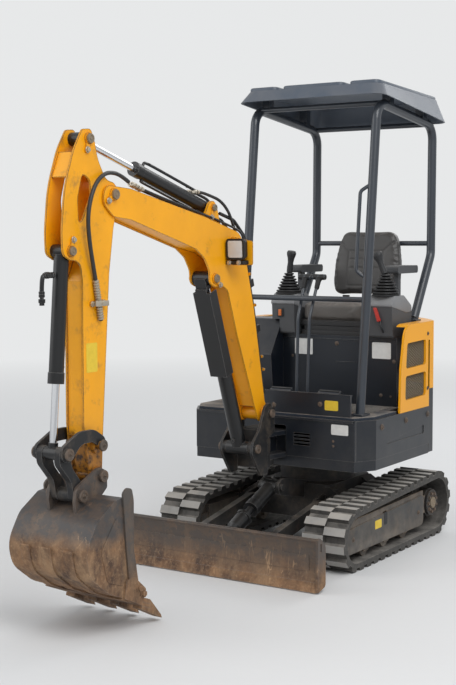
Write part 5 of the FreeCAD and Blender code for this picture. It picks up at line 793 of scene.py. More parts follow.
def make_lines():
    """Steel lines, hoses and their fittings along the boom, and the hose that loops to the arm."""
    shape = bmesh.new()
    for route in BOOM_LINES:
        add_copy(shape, curve_tube(route, 5.5), Matrix(), 0)
        start, then = Vector(route[0]), Vector(route[1])
        for share in (0.0, 1.1):
            spot = start + (then - start) * share
            add_copy(shape, element(hose_fitting, 6.6), facing(spot, then - start), 1)
    for route in BASE_HOSES:
        add_copy(shape, curve_tube(route, 7.0), Matrix(), 2)
        start, then = Vector(route[0]), Vector(route[1])
        add_copy(shape, element(hose_fitting, 6.5), facing(start - (then - start) * 0.5, then - start), 1)
    for y, z in BOOM_CLAMPS:
        tab = element(keeper_plate, 26.0, 16.0)
        add_copy(shape, tab, facing((52.0, y + 6.0, z), (0.0, 0.97, 0.24)), 3)
        add_copy(shape, element(hex_bolt, 10.0), facing((60.0, y + 11.0, z + 1.0), (0.0, 0.97, 0.24)), 1)
    finish_piece("boom_lines", shape, "boom", ("cylinder paint", "zinc", "hose rubber", "yellow paint"))
    shape = bmesh.new()
    add_copy(shape, curve_tube(ARM_CYL_LINE, 6.5), Matrix(), 0)
    for y, z in ((-1505.0, 1886.0), (-1200.0, 1796.0)):
        add_copy(shape, element(pressed_line, 30.0, 16.0), facing((10.0, y, z + 14.0), (0.0, 0.28, 0.96)), 0)
    finish_piece("arm_cylinder_line", shape, "arm_barrel", ("cylinder paint",))
    shape = bmesh.new()
    add_copy(shape, curve_tube(BUCKET_PORT, 9.0), Matrix(), 0)
    for spot, out in ((BUCKET_PORT[0], (0.0, -1.0, 0.0)), (BUCKET_PORT[-1], (0.0, 0.0, -1.0))):
        add_copy(shape, element(hose_fitting, 9.0), facing(spot, out), 0)
    finish_piece("bucket_cylinder_port", shape, "bucket_barrel", ("cylinder paint",))
    shape = bmesh.new()
    add_copy(shape, curve_tube(LOOP_HOSE, 8.5, 5), Matrix(), 0)
    smooth_shape(shape)
    mesh = bpy.data.meshes.new("loop_hose")
    shape.to_mesh(mesh)
    shape.free()
    mesh.materials.append(bpy.data.materials["hose rubber"])
    hose = bpy.data.objects.new("loop_hose", mesh)
    bpy.context.scene.collection.objects.link(hose)
    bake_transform(hose)
    shape = bmesh.new()
    low, high = Vector(ARMOUR_LOW), Vector(ARMOUR_HIGH)
    add_copy(shape, element(spring_armour, (high - low).length), facing(low, high - low), 0)
    for y, z in ((-1934.0, 1326.0), (-1866.0, 1330.0)):
        add_copy(shape, element(keeper_plate, 30.0, 24.0), facing((46.2, y, z), LEFT), 1)
        add_copy(shape, element(hex_bolt, 15.0), facing((52.2, y, z), LEFT), 0)
    strap = bmesh.new()
    rounded_box(strap, (84.0, 22.0, 5.0), width=1.5)
    strap_mesh = bpy.data.meshes.new("strap")
    bmesh.ops.scale(strap, vec=(MM, MM, MM), verts=strap.verts)
    strap.to_mesh(strap_mesh)
    strap.free()
    add_copy(shape, strap_mesh, facing((72.5, -1900.0, 1328.0), LEFT), 0)
    add_copy(shape, element(cap_bolt, 14.0), facing((75.0, -1900.0, 1328.0), LEFT), 0)
    finish_piece("arm_hose_clamp", shape, "arm", ("zinc", "arm yellow"))


LAMP_CENTRE = (112.0, -966.0, 1534.0)


def lamp_case(shape):
    """Lamp housing that narrows behind its bezel, with a rounded frame; Z looks forward."""
    raised_plate(shape, sheet_rows(94.0, 96.0), 10.0, corner=16.0, rim=3.0)
    back = bmesh.new()
    raised_plate(back, sheet_rows(84.0, 86.0), 34.0, corner=14.0, rim=9.0)
    bmesh.ops.rotate(back, verts=back.verts, cent=(0, 0, 0), matrix=Matrix.Rotation(math.pi, 3, "X"))
    mesh = bpy.data.meshes.new("back")
    back.to_mesh(mesh)
    back.free()
    shape.from_mesh(mesh)


def lamp_rim(shape):
    """Raised ring round the lamp's glass."""
    raised_plate(shape, sheet_rows(94.0, 96.0), 5.0, corner=16.0)
    top = max(shape.faces, key=lambda f: f.calc_center_median().z)
    bmesh.ops.inset_region(shape, faces=[top], thickness=9.0, depth=0.0)
    bmesh.ops.inset_region(shape, faces=[top], thickness=2.0, depth=-4.5)


def make_lamp():
    """Work lamp with its glass, bracket plate and lower stay."""
    shape = bmesh.new()
    out = (0.05, -1.0, -0.06)
    x, y, z = LAMP_CENTRE
    add_copy(shape, element(lamp_case), facing(LAMP_CENTRE, out), 0)
    add_copy(shape, element(lamp_rim), facing((x, y - 10.0, z), out), 0)
    add_copy(shape, element(raised_plate, sheet_rows(76.0, 78.0), 3.0, 9.0, 1.0), facing((x + 0.5, y - 11.5, z), out), 1)
    add_copy(shape, element(raised_plate, sheet_rows(72.0, 74.0), 1.0, 9.0), facing((x, y - 10.4, z), out), 2)
    plate = [(-57.0, -66.0), (59.0, -66.0), (59.0, 44.0), (-57.0, 66.0)]
    add_copy(shape, element(raised_plate, plate, 6.0, 10.0, 1.0), facing((115.0, y + 44.0, z - 8.0), FRONT), 3)
    stay = element(raised_plate, [(-60.0, -8.0), (34.0, -8.0), (34.0, 9.0), (-60.0, 9.0)], 46.0, 3.0, 1.0)
    add_copy(shape, stay, facing((118.0, y + 38.0, z - 62.0), FRONT), 0)
    for bolt_x in (76.0, 128.0):
        add_copy(shape, element(hex_bolt, 15.0), facing((bolt_x, y - 8.0, z - 62.0), FRONT), 4)
    finish_piece("work_lamp_dressed", shape, "boom",
                 ("boot rubber", "lamp glass", "reflector", "yellow paint", "zinc"), ("work_lamp",))


GRILLES = ((-34.0, 210.0, 762.0, 890.0), (-30.0, 208.0, 922.0, 1056.0))  # y, y, z, z of the hood's openings
MESH_X = 508.0


def diamond_mesh(shape, width, height):
    """Sheet of expanded metal about the origin."""
    bmesh.ops.create_grid(shape, x_segments=30, y_segments=30, size=160.0)
    bmesh.ops.rotate(shape, verts=shape.verts, cent=(0, 0, 0), matrix=Matrix.Rotation(math.pi / 4, 3, "Z"))
    bmesh.ops.scale(shape, vec=(1.45, 0.95, 1.0), verts=shape.verts)
    for axis, half in ((0, width / 2), (1, height / 2)):
        for way in (-1.0, 1.0):
            normal = [0.0, 0.0, 0.0]
            normal[axis] = way
            place = [0.0, 0.0, 0.0]
            place[axis] = way * half
            whole = list(shape.verts) + list(shape.edges) + list(shape.faces)
            bmesh.ops.bisect_plane(shape, geom=whole, dist=0.001, plane_co=place, plane_no=normal, clear_outer=True)
    bmesh.ops.wireframe(shape, faces=list(shape.faces), thickness=3.4, use_replace=True, use_boundary=True)


def make_hood_mesh():
    """Expanded metal in the hood's openings."""
    shape = bmesh.new()
    for y0, y1, z0, z1 in GRILLES:
        sheet = element(diamond_mesh, y1 - y0 + 12.0, z1 - z0 + 12.0)
        for side in (-1.0, 1.0):
            add_copy(shape, sheet, facing((side * MESH_X, (y0 + y1) / 2, (z0 + z1) / 2), (side, 0.0, 0.0)))
    finish_piece("hood_mesh", shape, "house", ("mesh black",), ("hood_grilles",))


# Seat, controls and trim

def evaluated_mesh(form):
    """The mesh of an object with its modifiers."""
    return bpy.data.meshes.new_from_object(form.evaluated_get(bpy.context.evaluated_depsgraph_get()))


def puffed(name, shape, cap, voxel=6.0):
    """Object of a closed form, remeshed and swollen as cloth under pressure; cap holds each point."""
    mesh = bpy.data.meshes.new(name)
    shape.to_mesh(mesh)
    shape.free()
    form = bpy.data.objects.new(name, mesh)
    bpy.context.scene.collection.objects.link(form)
    remesh = form.modifiers.new("remesh", "REMESH")
    remesh.mode = "VOXEL"
    remesh.voxel_size = voxel * MM
    soften = form.modifiers.new("soften", "SMOOTH")
    soften.iterations = 14
    soften.factor = 0.6
    form.data = evaluated_mesh(form)
    form.modifiers.clear()
    rest = [vert.co.copy() for vert in form.data.vertices]
    cloth = form.modifiers.new("cloth", "CLOTH")
    cloth.settings.use_pressure = True
    cloth.settings.uniform_pressure_force = 4.0
    cloth.settings.effector_weights.gravity = 0.0
    for step in range(1, 21):
        bpy.context.scene.frame_set(step)
    form.data = evaluated_mesh(form)
    form.modifiers.clear()
    bpy.context.scene.frame_set(1)
    for vert, old in zip(form.data.vertices, rest):
        move = vert.co - old
        if move.length > cap * MM:
            vert.co = old + move.normalized() * cap * MM
    return form


def crease(form, runs, depth, width, looks):
    """Presses seams into a form along runs of points, or raises piping where depth is negative."""
    mesh = form.data
    mesh.update()
    segments = [(at(*a), at(*b)) for run in runs for a, b in zip(run, run[1:])]
    looks = Vector(looks)
    moved = []
    for vert in mesh.vertices:
        if vert.normal.dot(looks) < 0.25:
            continue
        near = min((vert.co - nearest_on(vert.co, a, b)).length for a, b in segments)
        if near < width * MM * 3:
            moved.append((vert, vert.normal * (-depth * MM * math.exp(-(near / (width * MM)) ** 2))))
    for vert, move in moved:
        vert.co += move


def nearest_on(point, a, b):
    """Nearest point of a straight run."""
    run = b - a
    share = max(0.0, min(1.0, (point - a).dot(run) / run.length_squared))
    return a + run * share


def finish_soft(form, body, material, node):
    """Smooths a soft piece, gives it its material and puts it in its solid's place."""
    form.data.materials.clear()
    form.data.materials.append(bpy.data.materials[material])
    for face in form.data.polygons:
        face.use_smooth = True
    rounding = form.modifiers.new("rounding", "SUBSURF")
    rounding.levels = 1
    rounding.render_levels = 1
    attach(form, body)
    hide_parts(node)


BACK_FOOT = (84.0, 410.0, 1270.0)   # middle of the backrest's lower rear edge
BACK_LOOK = (0.0, -0.985, 0.172)
BACK_OUTLINE = ((-184, -10), (-208, 60), (-208, 175), (-184, 295), (-152, 352), (152, 352), (184, 295), (208, 175),
                (208, 60), (184, -10))


def on_back(x, up, out=58.0):
    """A point on the backrest, from its middle, up along it and out from its rear."""
    return (BACK_FOOT[0] + x, BACK_FOOT[1] + 0.172 * up - 0.985 * out, BACK_FOOT[2] + 0.985 * up + 0.172 * out)


def make_seat():
    """Seat cushion and backrest, sewn and piped."""
    shape = bmesh.new()
    add_copy(shape, element(raised_plate, BACK_OUTLINE, 52.0, 30.0), facing(BACK_FOOT, BACK_LOOK))
    back = puffed("seat_back_soft", shape, 12.0)
    piping = [on_back(x * 0.93, 168 + (up - 168) * 0.93) for x, up in BACK_OUTLINE]
    crease(back, [piping + piping[:1]], -5.0, 5.0, BACK_LOOK)
    inner = [on_back(x, up) for x, up in ((-104, 40), (-104, 232), (104, 232), (104, 40), (-104, 40))]
    seams = [inner, [on_back(-104, 138), on_back(104, 138)], [on_back(-104, 186), on_back(104, 186)]]
    seams += [[on_back(side * 104, 232), on_back(side * 168, 290)] for side in (-1, 1)]
    crease(back, seams, 9.0, 5.5, BACK_LOOK)
    finish_soft(back, "house", "seat vinyl", "seat_back")
    shape = bmesh.new()
    plan = ((-196, 10), (-200, 120), (-196, 384), (196, 384), (200, 120), (196, 10))
    add_copy(shape, element(raised_plate, plan, 74.0, 40.0), facing((STATION_X, 0.0, 1158.0), UP, BACK))
    cushion = puffed("seat_cushion_soft", shape, 13.0)
    rim = [(STATION_X + x * 0.94, 197 + (y - 197) * 0.94, 1232.0) for x, y in plan]
    crease(cushion, [rim + rim[:1]], -3.0, 5.0, UP)
    seams = [[(STATION_X - 190, 118, 1232), (STATION_X + 190, 118, 1232)]]
    seams += [[(STATION_X + x, 118, 1232), (STATION_X + x, 380, 1232)] for x in (-112, 112)]
    crease(cushion, seams, 6.0, 5.5, UP)
    finish_soft(cushion, "house", "cushion vinyl", "seat_cushion")


def bellows_boot(shape):
    """Rubber boot of seven rings that narrow upward."""
    rows = [(0, 0), (72, 0), (72, 6), (64, 8)]
    for i in range(7):
        radius, height = 66.0 - 7.0 * i, 8.0 + 15.0 * i
        rows += [(radius - 2.0, height + 1.0), (radius + 3.0, height + 5.0), (radius + 1.0, height + 10.0),
                 (radius - 14.0, height + 12.5)]
    rows += [(14, 114), (0, 114)]
    turn_profile(shape, rows, 28)


def stick_grip(shape):
    """Slim grip with a broad thumb head."""
    turn_profile(shape, [(0, -12), (10, -12), (10, 2), (16, 5), (16.5, 30), (15, 58), (18, 80), (23, 98), (24, 110), (19, 120), (0, 123)], 20)
    for vert in shape.verts:
        vert.co.y *= 1.0 + max(0.0, vert.co.z - 70.0) / 260.0


def lever_handle(shape):
    """Rubber T handle with its neck; Z points up, the bar lies along X."""
    turn_profile(shape, [(0, -66), (9.5, -66), (12.5, -60), (14, -24), (19, -8), (0, -6)], 16)
    bar = bmesh.new()
    turn_profile(bar, [(0, -40), (9, -39), (14, -34), (15, -20), (14, 0), (15, 20), (14, 34), (9, 39), (0, 40)], 16)
    bmesh.ops.rotate(bar, verts=bar.verts, cent=(0, 0, 0), matrix=Matrix.Rotation(math.pi / 2, 3, "Y"))
    mesh = bpy.data.meshes.new("bar")
    bar.to_mesh(mesh)
    bar.free()
    shape.from_mesh(mesh)


STICKS = ((367.0, -0.40), (-207.0, 0.16))  # x, lean along X
CAP_ROWS = ((-19, 1232), (-18, 1246), (17, 1286), (122, 1286), (213, 1230), (213, 1198), (150, 1196))


def make_controls():
    """Joysticks with bellows, console caps, switches, lever handles and pedal treads."""
    shape = bmesh.new()
    for x, lean in STICKS:
        add_copy(shape, element(bellows_boot), facing((x, STICK_Y, CONSOLE_TOP + 4.0), UP), 0)
        tilt = (lean, -0.06, 1.0)
        add_copy(shape, element(stick_grip), facing((x + lean * 12.0, STICK_Y, CONSOLE_TOP + 112.0), tilt), 1)
    finish_piece("joysticks_dressed", shape, "house", ("boot rubber", "dark plastic"), ("joysticks",))
    shape = bmesh.new()
    for side in (-1.0, 1.0):
        x = STATION_X + side * CONSOLE_X
        add_copy(shape, element(raised_plate, CAP_ROWS, 141.0, 6.0, 2.5),
                 facing((x - 70.5, 0.0, 0.0), LEFT, UP), 0)
    add_copy(shape, element(raised_plate, sheet_rows(34.0, 46.0), 5.0, 4.0, 1.5), facing((-222.0, -13.5, 1186.0), FRONT), 1)
    add_copy(shape, element(raised_plate, sheet_rows(16.0, 34.0), 11.0, 3.0, 2.0), facing((-222.0, -13.5, 1186.0), FRONT), 2)
    lever = element(raised_plate, [(-9.0, -40.0), (9.0, -40.0), (11.0, 34.0), (-5.0, 38.0)], 13.0, 5.0, 3.0)
    add_copy(shape, lever, facing((352.0, -16.0, 1192.0), (0.0, -1.0, 0.1), (-0.45, 0.0, 1.0)), 3)
    add_copy(shape, curve_tube(((368, -12, 1160), (374, -22, 1146), (382, -24, 1118), (384, 6, 1092)), 5.0), Matrix(), 1)
    finish_piece("console_trim", shape, "house", ("grey plastic", "dark plastic", "orange plastic", "red plastic"))
    shape = bmesh.new()
    for side in (-1.0, 1.0):
        x = STATION_X + side * 40.0
        add_copy(shape, element(lever_handle), facing((x, -205.0, 1385.0), (side * 0.02, 0.38, 0.92), (0.0, 0.92, -0.38)), 0)
        tread = element(raised_plate, sheet_rows(112.0, 10.0), 3.0, 2.0)
        for i in range(5):
            share = (i + 0.5) / 5
            add_copy(shape, tread, facing((STATION_X + side * 140.0, -372.0 + 104.0 * share, 757.5 + 66.0 * share), (0.0, -0.52, 0.85)), 1)
    finish_piece("lever_trim", shape, "house", ("boot rubber", "dark plastic"))


LABELS = (  # name, body, centre, facing, width, height, film
    ("front", "house", (380.0, -466.2, 656.0), FRONT, 93.0, 51.0, "white film"),
    ("kick", "house", (320.0, -440.2, 768.0), FRONT, 74.0, 48.0, "yellow film"),
    ("box_right", "house", (-102.0, 27.8, 1010.0), FRONT, 108.0, 90.0, "white film"),
    ("box_left", "house", (357.0, 27.8, 1003.0), FRONT, 107.0, 84.0, "white film"),
    ("arm", "arm", (46.2, -1938.0, 1112.0), LEFT, 70.0, 118.0, "yellow film"),
)


def make_labels():
    """Blank labels."""
    for name, body, centre, out, width, height, film in LABELS:
        shape = bmesh.new()
        add_copy(shape, element(raised_plate, sheet_rows(width, height), 0.8, 6.0), facing(centre, out))
        finish_piece("label_" + name, shape, body, (film,))


HOUSE_BOLTS = (  # x, y, z, facing, width over the flats
    (523.0, -296.0, 660.0, LEFT, 22.0), (523.0, -25.0, 661.0, LEFT, 22.0), (523.0, 236.0, 663.0, LEFT, 22.0),
    (-523.0, -296.0, 660.0, RIGHT, 22.0), (-523.0, -25.0, 661.0, RIGHT, 22.0), (-523.0, 236.0, 663.0, RIGHT, 22.0),
    (344.0, -466.0, 574.0, FRONT, 9.0), (344.0, -466.0, 598.0, FRONT, 9.0),
    (257.0, -440.0, 771.0, FRONT, 17.0), (-170.0, 28.0, 954.0, FRONT, 10.0), (-200.0, 28.0, 760.0, FRONT, 10.0),
    (428.0, 28.0, 950.0, FRONT, 13.0), (355.0, 28.0, 772.0, FRONT, 13.0), (410.0, 28.0, 768.0, FRONT, 8.0),
    (97.0, 28.0, 1030.0, FRONT, 16.0),
)
ROOF_PADS = ((-290.0, 84.0), (0.0, 176.0), (290.0, 84.0))  # x of the middle, half width
# Near-black shroud under the seat cushion: it closes the gap there, and its colour stands in for the shade beneath the
# cushion.
SEAT_SHROUD_SHADE = ((416.0, 88.0, 1072.5, 1096.0), (392.0, 78.0, 1096.0, 1122.0), (416.0, 88.0, 1122.0, 1149.0))  # width, depth, z, z
STRIPS = ((154.0, 27.6, 935.0, 124.0, 5.0), (107.0, 27.6, 1052.0, 660.0, 6.0))  # x, y, z, length, height on the box


def pressed_line(shape, length, height):
    """Long thin bead with round ends."""
    raised_plate(shape, sheet_rows(length, height), 2.2, height * 0.45, 0.8)


def make_house_trim():
    """Bolts, beads, roof pads, a near-black shroud under the cushion that is also painted shade, the hood's seam and
    hinge, and the floor mat.
    """
    shape = bmesh.new()
    for x, y, z, out, across in HOUSE_BOLTS:
        add_copy(shape, element(cap_bolt, across), facing((x, y, z), out), 0)
    for x, y, z, length, height in STRIPS:
        add_copy(shape, element(pressed_line, length, height), facing((x, y + 0.4, z), FRONT), 1)
    slope = (0.0, 34.0, 752.0)
    # The roof pads take the roof's lighter colour, the same painted highlight for the sky-lit top.
    for x, half in ROOF_PADS:
        rows = ((-half, -352.0), (half, -352.0), (half, 348.0), (-half, 348.0))
        add_copy(shape, element(raised_plate, rows, 20.0, 34.0, 8.0),
                 facing((STATION_X + x, 133.0, 2318.5), slope, BACK), 2)
    for i in range(14):
        rib = element(raised_plate, sheet_rows(640.0, 9.0), 2.4, 2.0)
        add_copy(shape, rib, facing((STATION_X + 30.0, -246.0 + 19.0 * i, FLOOR_TOP + 0.2), UP), 3)
    # Shroud in the darkest rubber, painted shade under the cushion.
    for width, depth, low, high in SEAT_SHROUD_SHADE:
        rows = sheet_rows(width, depth)
        add_copy(shape, element(raised_plate, rows, high - low, 14.0, 5.0), facing((STATION_X, 80.0, low), UP, BACK), 4)
    finish_piece("house_trim", shape, "house",
                 ("bolt steel", "charcoal paint", "roof plastic", "mat rubber", "boot rubber"))
    shape = bmesh.new()
    for side in (-1.0, 1.0):
        out = (side, 0.0, 0.0)
        for height in (1085.0, 800.0):
            add_copy(shape, element(cap_bolt, 14.0), facing((side * 523.0, 232.0, height), out), 0)
        add_copy(shape, element(pressed_line, 6.0, 250.0), facing((side * 523.2, 246.0, 925.0), out), 1)
    add_copy(shape, element(raised_plate, sheet_rows(86.0, 46.0), 4.0, 12.0, 1.5), facing((0.0, 604.5, 960.0), BACK), 1)
    add_copy(shape, element(raised_plate, sheet_rows(42.0, 16.0), 9.0, 5.0, 3.0), facing((0.0, 606.5, 960.0), BACK), 1)
    finish_piece("hood_trim", shape, "house", ("bolt steel", "dark plastic"))


SPROCKET_Y, SPROCKET_Z = 353.0, 172.0
IDLER_Y, IDLER_Z = -553.0, 152.0


def ring_of(shape, mesh, centre, out, radius, count, index):
    """Copies of a mesh in a ring about a centre that faces left or right."""
    for i in range(count):
        turn = math.tau * (i + 0.5) / count
        place = (centre[0], centre[1] + radius * math.cos(turn), centre[2] + radius * math.sin(turn))
        add_copy(shape, mesh, facing(place, out), index)


FRAME_COVER = ((-646, 84), (232, 76), (232, 236), (-646, 204))
# Near-black sheet laid on the cover: painted shade where its slot is.
COVER_SLOT_SHADE = (-215.0, 192.0, 34.0, 62.0)     # y, z, width, height
COVER_LABEL = (-296.0, 178.0, 70.0, 42.0)
SLEEVE_R = 38.0
SLEEVE_REACH = (36.0, 158.0)   # along the blade cylinder's rod, from its eye


def rod_sleeve(shape):
    """Black sleeve with a collar over the blade cylinder's rod, standing on its eye."""
    low, high = SLEEVE_REACH
    turn_profile(shape, [(0, low), (26, low), (SLEEVE_R, low + 16), (SLEEVE_R, high - 22), (SLEEVE_R + 5, high - 20),
                         (SLEEVE_R + 5, high - 4), (SLEEVE_R, high), (0, high)], 28)


def make_frame_covers():
    """Cover plates, near-black sheets painted as the shade in their slots, and blank labels on the outside of the track
    frames, and the blade rod's sleeve.
    """
    for side, word in ((1.0, "left"), (-1.0, "right")):
        out = (side, 0.0, 0.0)
        shape = bmesh.new()
        rows = [(side * y, z) for y, z in FRAME_COVER]
        add_copy(shape, element(raised_plate, rows, 5.0, 30.0, 1.5), facing((side * 500.3, 0.0, 0.0), out), 0)
        # The slot is a flat near-black sheet, the painted shade of an opening.
        for (y, z, width, height), index, lift in ((COVER_SLOT_SHADE, 1, 5.4), (COVER_LABEL, 2, 5.4)):
            plate = element(raised_plate, sheet_rows(width, height), 0.8, 5.0)
            add_copy(shape, plate, facing((side * (500.3 + lift), y, z), out), index)
        for y in (-560.0, 170.0):
            add_copy(shape, element(cap_bolt, 16.0), facing((side * 505.3, y, 150.0), out), 3)
        finish_piece("frame_cover_" + word, shape, "undercarriage",
                     ("cover paint", "boot rubber", "yellow film", "bolt steel"))
    shape = bmesh.new()
    along = (0.0, -478.0 - BLADE_CYL_EYE[0], 343.0 - BLADE_CYL_EYE[1])
    add_copy(shape, element(rod_sleeve), facing((0.0, *BLADE_CYL_EYE), along, LEFT))
    finish_piece("blade_rod_sleeve", shape, "blade_rod", ("cylinder paint",))


BUCKET_STRIP = ((-30, -92), (-34, -52), (-8, -34), (24, -42), (36, -90), (34, -290), (62, -430), (34, -508),
                (4, -440), (-16, -260))
BUCKET_PRESS = ((-168, -262), (-66, -140), (-24, -430), (-130, -392))     # y, z from the bucket's pin
CUTTER_BOLTS = ((62.0, -456.0), (88.0, -484.0))


def make_bucket_trim():
    """Edge strips, pressed triangles, cutter bolts and weld beads on the bucket."""
    shape = bmesh.new()
    for side in (-1.0, 1.0):
        out = (side, 0.0, 0.0)
        place = facing((side * 200.0, *BUCKET_PIN), out)
        add_copy(shape, element(raised_plate, [(side * y, z) for y, z in BUCKET_STRIP], 9.0, 10.0, 2.0), place, 0)
        add_copy(shape, element(raised_plate, [(side * y, z) for y, z in BUCKET_PRESS], 3.0, 16.0, 1.5), place, 1)
        for y, z in CUTTER_BOLTS:
            spot = (side * 210.0, BUCKET_PIN[0] + y, BUCKET_PIN[1] + z)
            add_copy(shape, element(hex_bolt, 24.0), facing(spot, out), 0)
        seam = [(side * 76.0, BUCKET_PIN[0] - y, BUCKET_PIN[1] - z) for y, z in ((8, 84), (60, 84), (120, 110), (156, 140))]
        add_copy(shape, curve_tube(seam, 5.0, 2), Matrix(), 0)
    finish_piece("bucket_trim", shape, "bucket", ("strip steel", "bucket steel"))


def make_undercarriage_trim():
    """Bolts and a collar on the drive hubs, the blade's cylinder lines, and collars on the blade's pins."""
    shape = bmesh.new()
    for side in (-1.0, 1.0):
        out = (side, 0.0, 0.0)
        hub = (side * 482.0, SPROCKET_Y, SPROCKET_Z)
        ring_of(shape, element(hex_bolt, 15.0), (side * 500.0, SPROCKET_Y, SPROCKET_Z), out, 48.0, 9, 0)
        add_copy(shape, element(pin_collar, 30.0, 9.0), facing((side * 500.0, SPROCKET_Y, SPROCKET_Z), out), 1)
    for x in (-22.0, 22.0):
        route = ((x, -486, 402), (x, -520, 398), (x * 1.3, -470, 372), (x * 1.6, -400, 352), (x * 1.8, -330, 340),
                 (x * 1.8, -260, 330))
        add_copy(shape, curve_tube(route, 7.0), Matrix(), 2)
    finish_piece("undercarriage_trim", shape, "undercarriage", ("bolt steel", "pin steel", "hose rubber"))
    shape = bmesh.new()
    for side in (-1.0, 1.0):
        out = (side, 0.0, 0.0)
        for y, z in (BLADE_PIVOT, BLADE_CYL_EYE):
            half = 237.0 if y == BLADE_PIVOT[0] else 43.0
            add_copy(shape, element(pin_collar, 19.0, 7.0), facing((side * half, y, z), out), 0)
    finish_piece("blade_pins", shape, "blade", ("pin steel",))



# Stage

def make_floor(tone):
    """Pale floor that melts into the background far away."""
    shape = bmesh.new()
    bmesh.ops.create_circle(shape, cap_ends=True, segments=96, radius=60.0)
    mesh = bpy.data.meshes.new("floor")
    shape.to_mesh(mesh)
    shape.free()
    floor = bpy.data.objects.new("floor", mesh)
    bpy.context.scene.collection.objects.link(floor)
    tree, shader = new_material("pale floor")
    mesh.materials.append(bpy.data.materials["pale floor"])
    grains = use(tree, "mottle", "Value", Scale=24.0, Contrast=0.7)
    tree.links.new(mix(tree, grains, shade((tone, tone, tone), 0.985), (tone, tone, tone, 1.0)), shader.inputs["Base Color"])
    shader.inputs["Roughness"].default_value = 0.85
    vector = add(tree, "ShaderNodeTexCoord").outputs["Object"]
    distance = add(tree, "ShaderNodeVectorMath", {0: vector}, operation="LENGTH").outputs["Value"]
    far = band(tree, distance, 3.0, 11.0)
    glow = add(tree, "ShaderNodeEmission", {"Color": (0.80, 0.81, 0.815, 1.0), "Strength": 1.0})
    light = add(tree, "ShaderNodeLightPath").outputs["Is Camera Ray"]
    blend = add(tree, "ShaderNodeMixShader", {0: calc(tree, "MULTIPLY", far, light)})
    tree.links.new(shader.outputs[0], blend.inputs[1])
    tree.links.new(glow.outputs[0], blend.inputs[2])
    tree.links.new(blend.outputs[0], tree.nodes["Material Output"].inputs["Surface"])


def make_world(strength):
    """Soft even light, with a pale background for the eye and for reflections."""
    world = bpy.data.worlds.new("studio")
    bpy.context.scene.world = world
    world.use_nodes = True
    tree = world.node_tree
    back = tree.nodes["Background"]
    back.inputs["Color"].default_value = (0.94, 0.97, 1.0, 1.0)
    back.inputs["Strength"].default_value = strength
    seen = add(tree, "ShaderNodeBackground", {"Color": (0.80, 0.81, 0.815, 1.0), "Strength": 1.0})
    path = add(tree, "ShaderNodeLightPath")
    share = calc(tree, "MAXIMUM", path.outputs["Is Camera Ray"], path.outputs["Is Transmission Ray"])
    share = calc(tree, "MAXIMUM", share, calc(tree, "MULTIPLY", path.outputs["Is Glossy Ray"], 0.7))
    blend = add(tree, "ShaderNodeMixShader", {0: share})
    tree.links.new(back.outputs[0], blend.inputs[1])
    tree.links.new(seen.outputs[0], blend.inputs[2])
    tree.links.new(blend.outputs[0], tree.nodes["World Output"].inputs["Surface"])


LAMPS = (  # name, x, y, z in metres about the slew axis, size in metres, share of the power
    ("key lamp", 4.5, -3.6, 6.0, 4.0, 1.0),
    ("fill lamp", -4.8, -5.2, 3.6, 4.5, 0.42),
    ("rear lamp", 0.5, 5.2, 5.0, 4.0, 0.5),
)


def make_lamps(power):
    """Large soft lamps that look at the machine."""
    for name, x, y, z, size, share in LAMPS:
        light = bpy.data.lights.new(name, "AREA")
        light.energy = power * share
        light.size = size
        lamp = bpy.data.objects.new(name, light)
        bpy.context.scene.collection.objects.link(lamp)
        place = Vector((x, y + AXIS_Y, z))
        aim = Vector((0.0, AXIS_Y - 0.5, 0.9)) - place
        lamp.matrix_world = Matrix.Translation(place) @ aim.to_track_quat("-Z", "Y").to_matrix().to_4x4()


def make_camera():
    """Camera at the photograph's place, found from the machine's known sizes."""
    camera = bpy.data.cameras.new("camera")
    camera.lens = 68.264
    camera.sensor_width = 36.0
    camera.clip_end = 200.0
    seat = bpy.data.objects.new("camera", camera)
    bpy.context.scene.collection.objects.link(seat)
    turn = (Matrix.Rotation(math.radians(33.1063), 4, "Z") @ Matrix.Rotation(math.radians(90.0 - 4.7151), 4, "X")
            @ Matrix.Rotation(math.radians(-0.2336), 4, "Z"))
    seat.matrix_world = Matrix.Translation((3.3291, -5.9746 + AXIS_Y, 1.59705)) @ turn
    bpy.context.scene.camera = seat


# Settings and operators

class PaintSettings(bpy.types.PropertyGroup):
    """Colours of the machine's paints."""

    yellow: FloatVectorProperty(name="Yellow", description="Boom, arm and hood paint", subtype="COLOR", size=3,
                                min=0.0, max=1.0, default=(0.90, 0.385, 0.004))
    charcoal: FloatVectorProperty(name="Charcoal", description="House paint", subtype="COLOR", size=3,
                                  min=0.0, max=1.0, default=(0.0048, 0.0084, 0.0150))
    canopy: FloatVectorProperty(name="Canopy", description="Canopy tubes and roof", subtype="COLOR", size=3,
                                min=0.0, max=1.0, default=(0.026, 0.033, 0.044))
    gear: FloatVectorProperty(name="Working gear", description="Swing post, links and cylinders", subtype="COLOR",
                              size=3, min=0.0, max=1.0, default=(0.0125, 0.0130, 0.0145))


class StageSettings(bpy.types.PropertyGroup):
    """Light and floor."""

    lamp_power: FloatProperty(name="Lamp power", description="Power of the key lamp", unit="POWER",
                              min=0.0, default=260.0)
    sky: FloatProperty(name="Sky", description="Strength of the even light", min=0.0, default=0.62)
    floor_tone: FloatProperty(name="Floor tone", description="Grey of the floor", subtype="FACTOR",
                              min=0.0, max=1.0, default=0.70)


class EXCAVATOR_OT_finishes(bpy.types.Operator):
    """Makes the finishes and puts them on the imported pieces"""

    bl_idname = "excavator.finishes"
    bl_label = "Finishes"

    def execute(self, context):
        make_materials(context.scene.excavator_paint)
        dress_nodes()
        return {"FINISHED"}


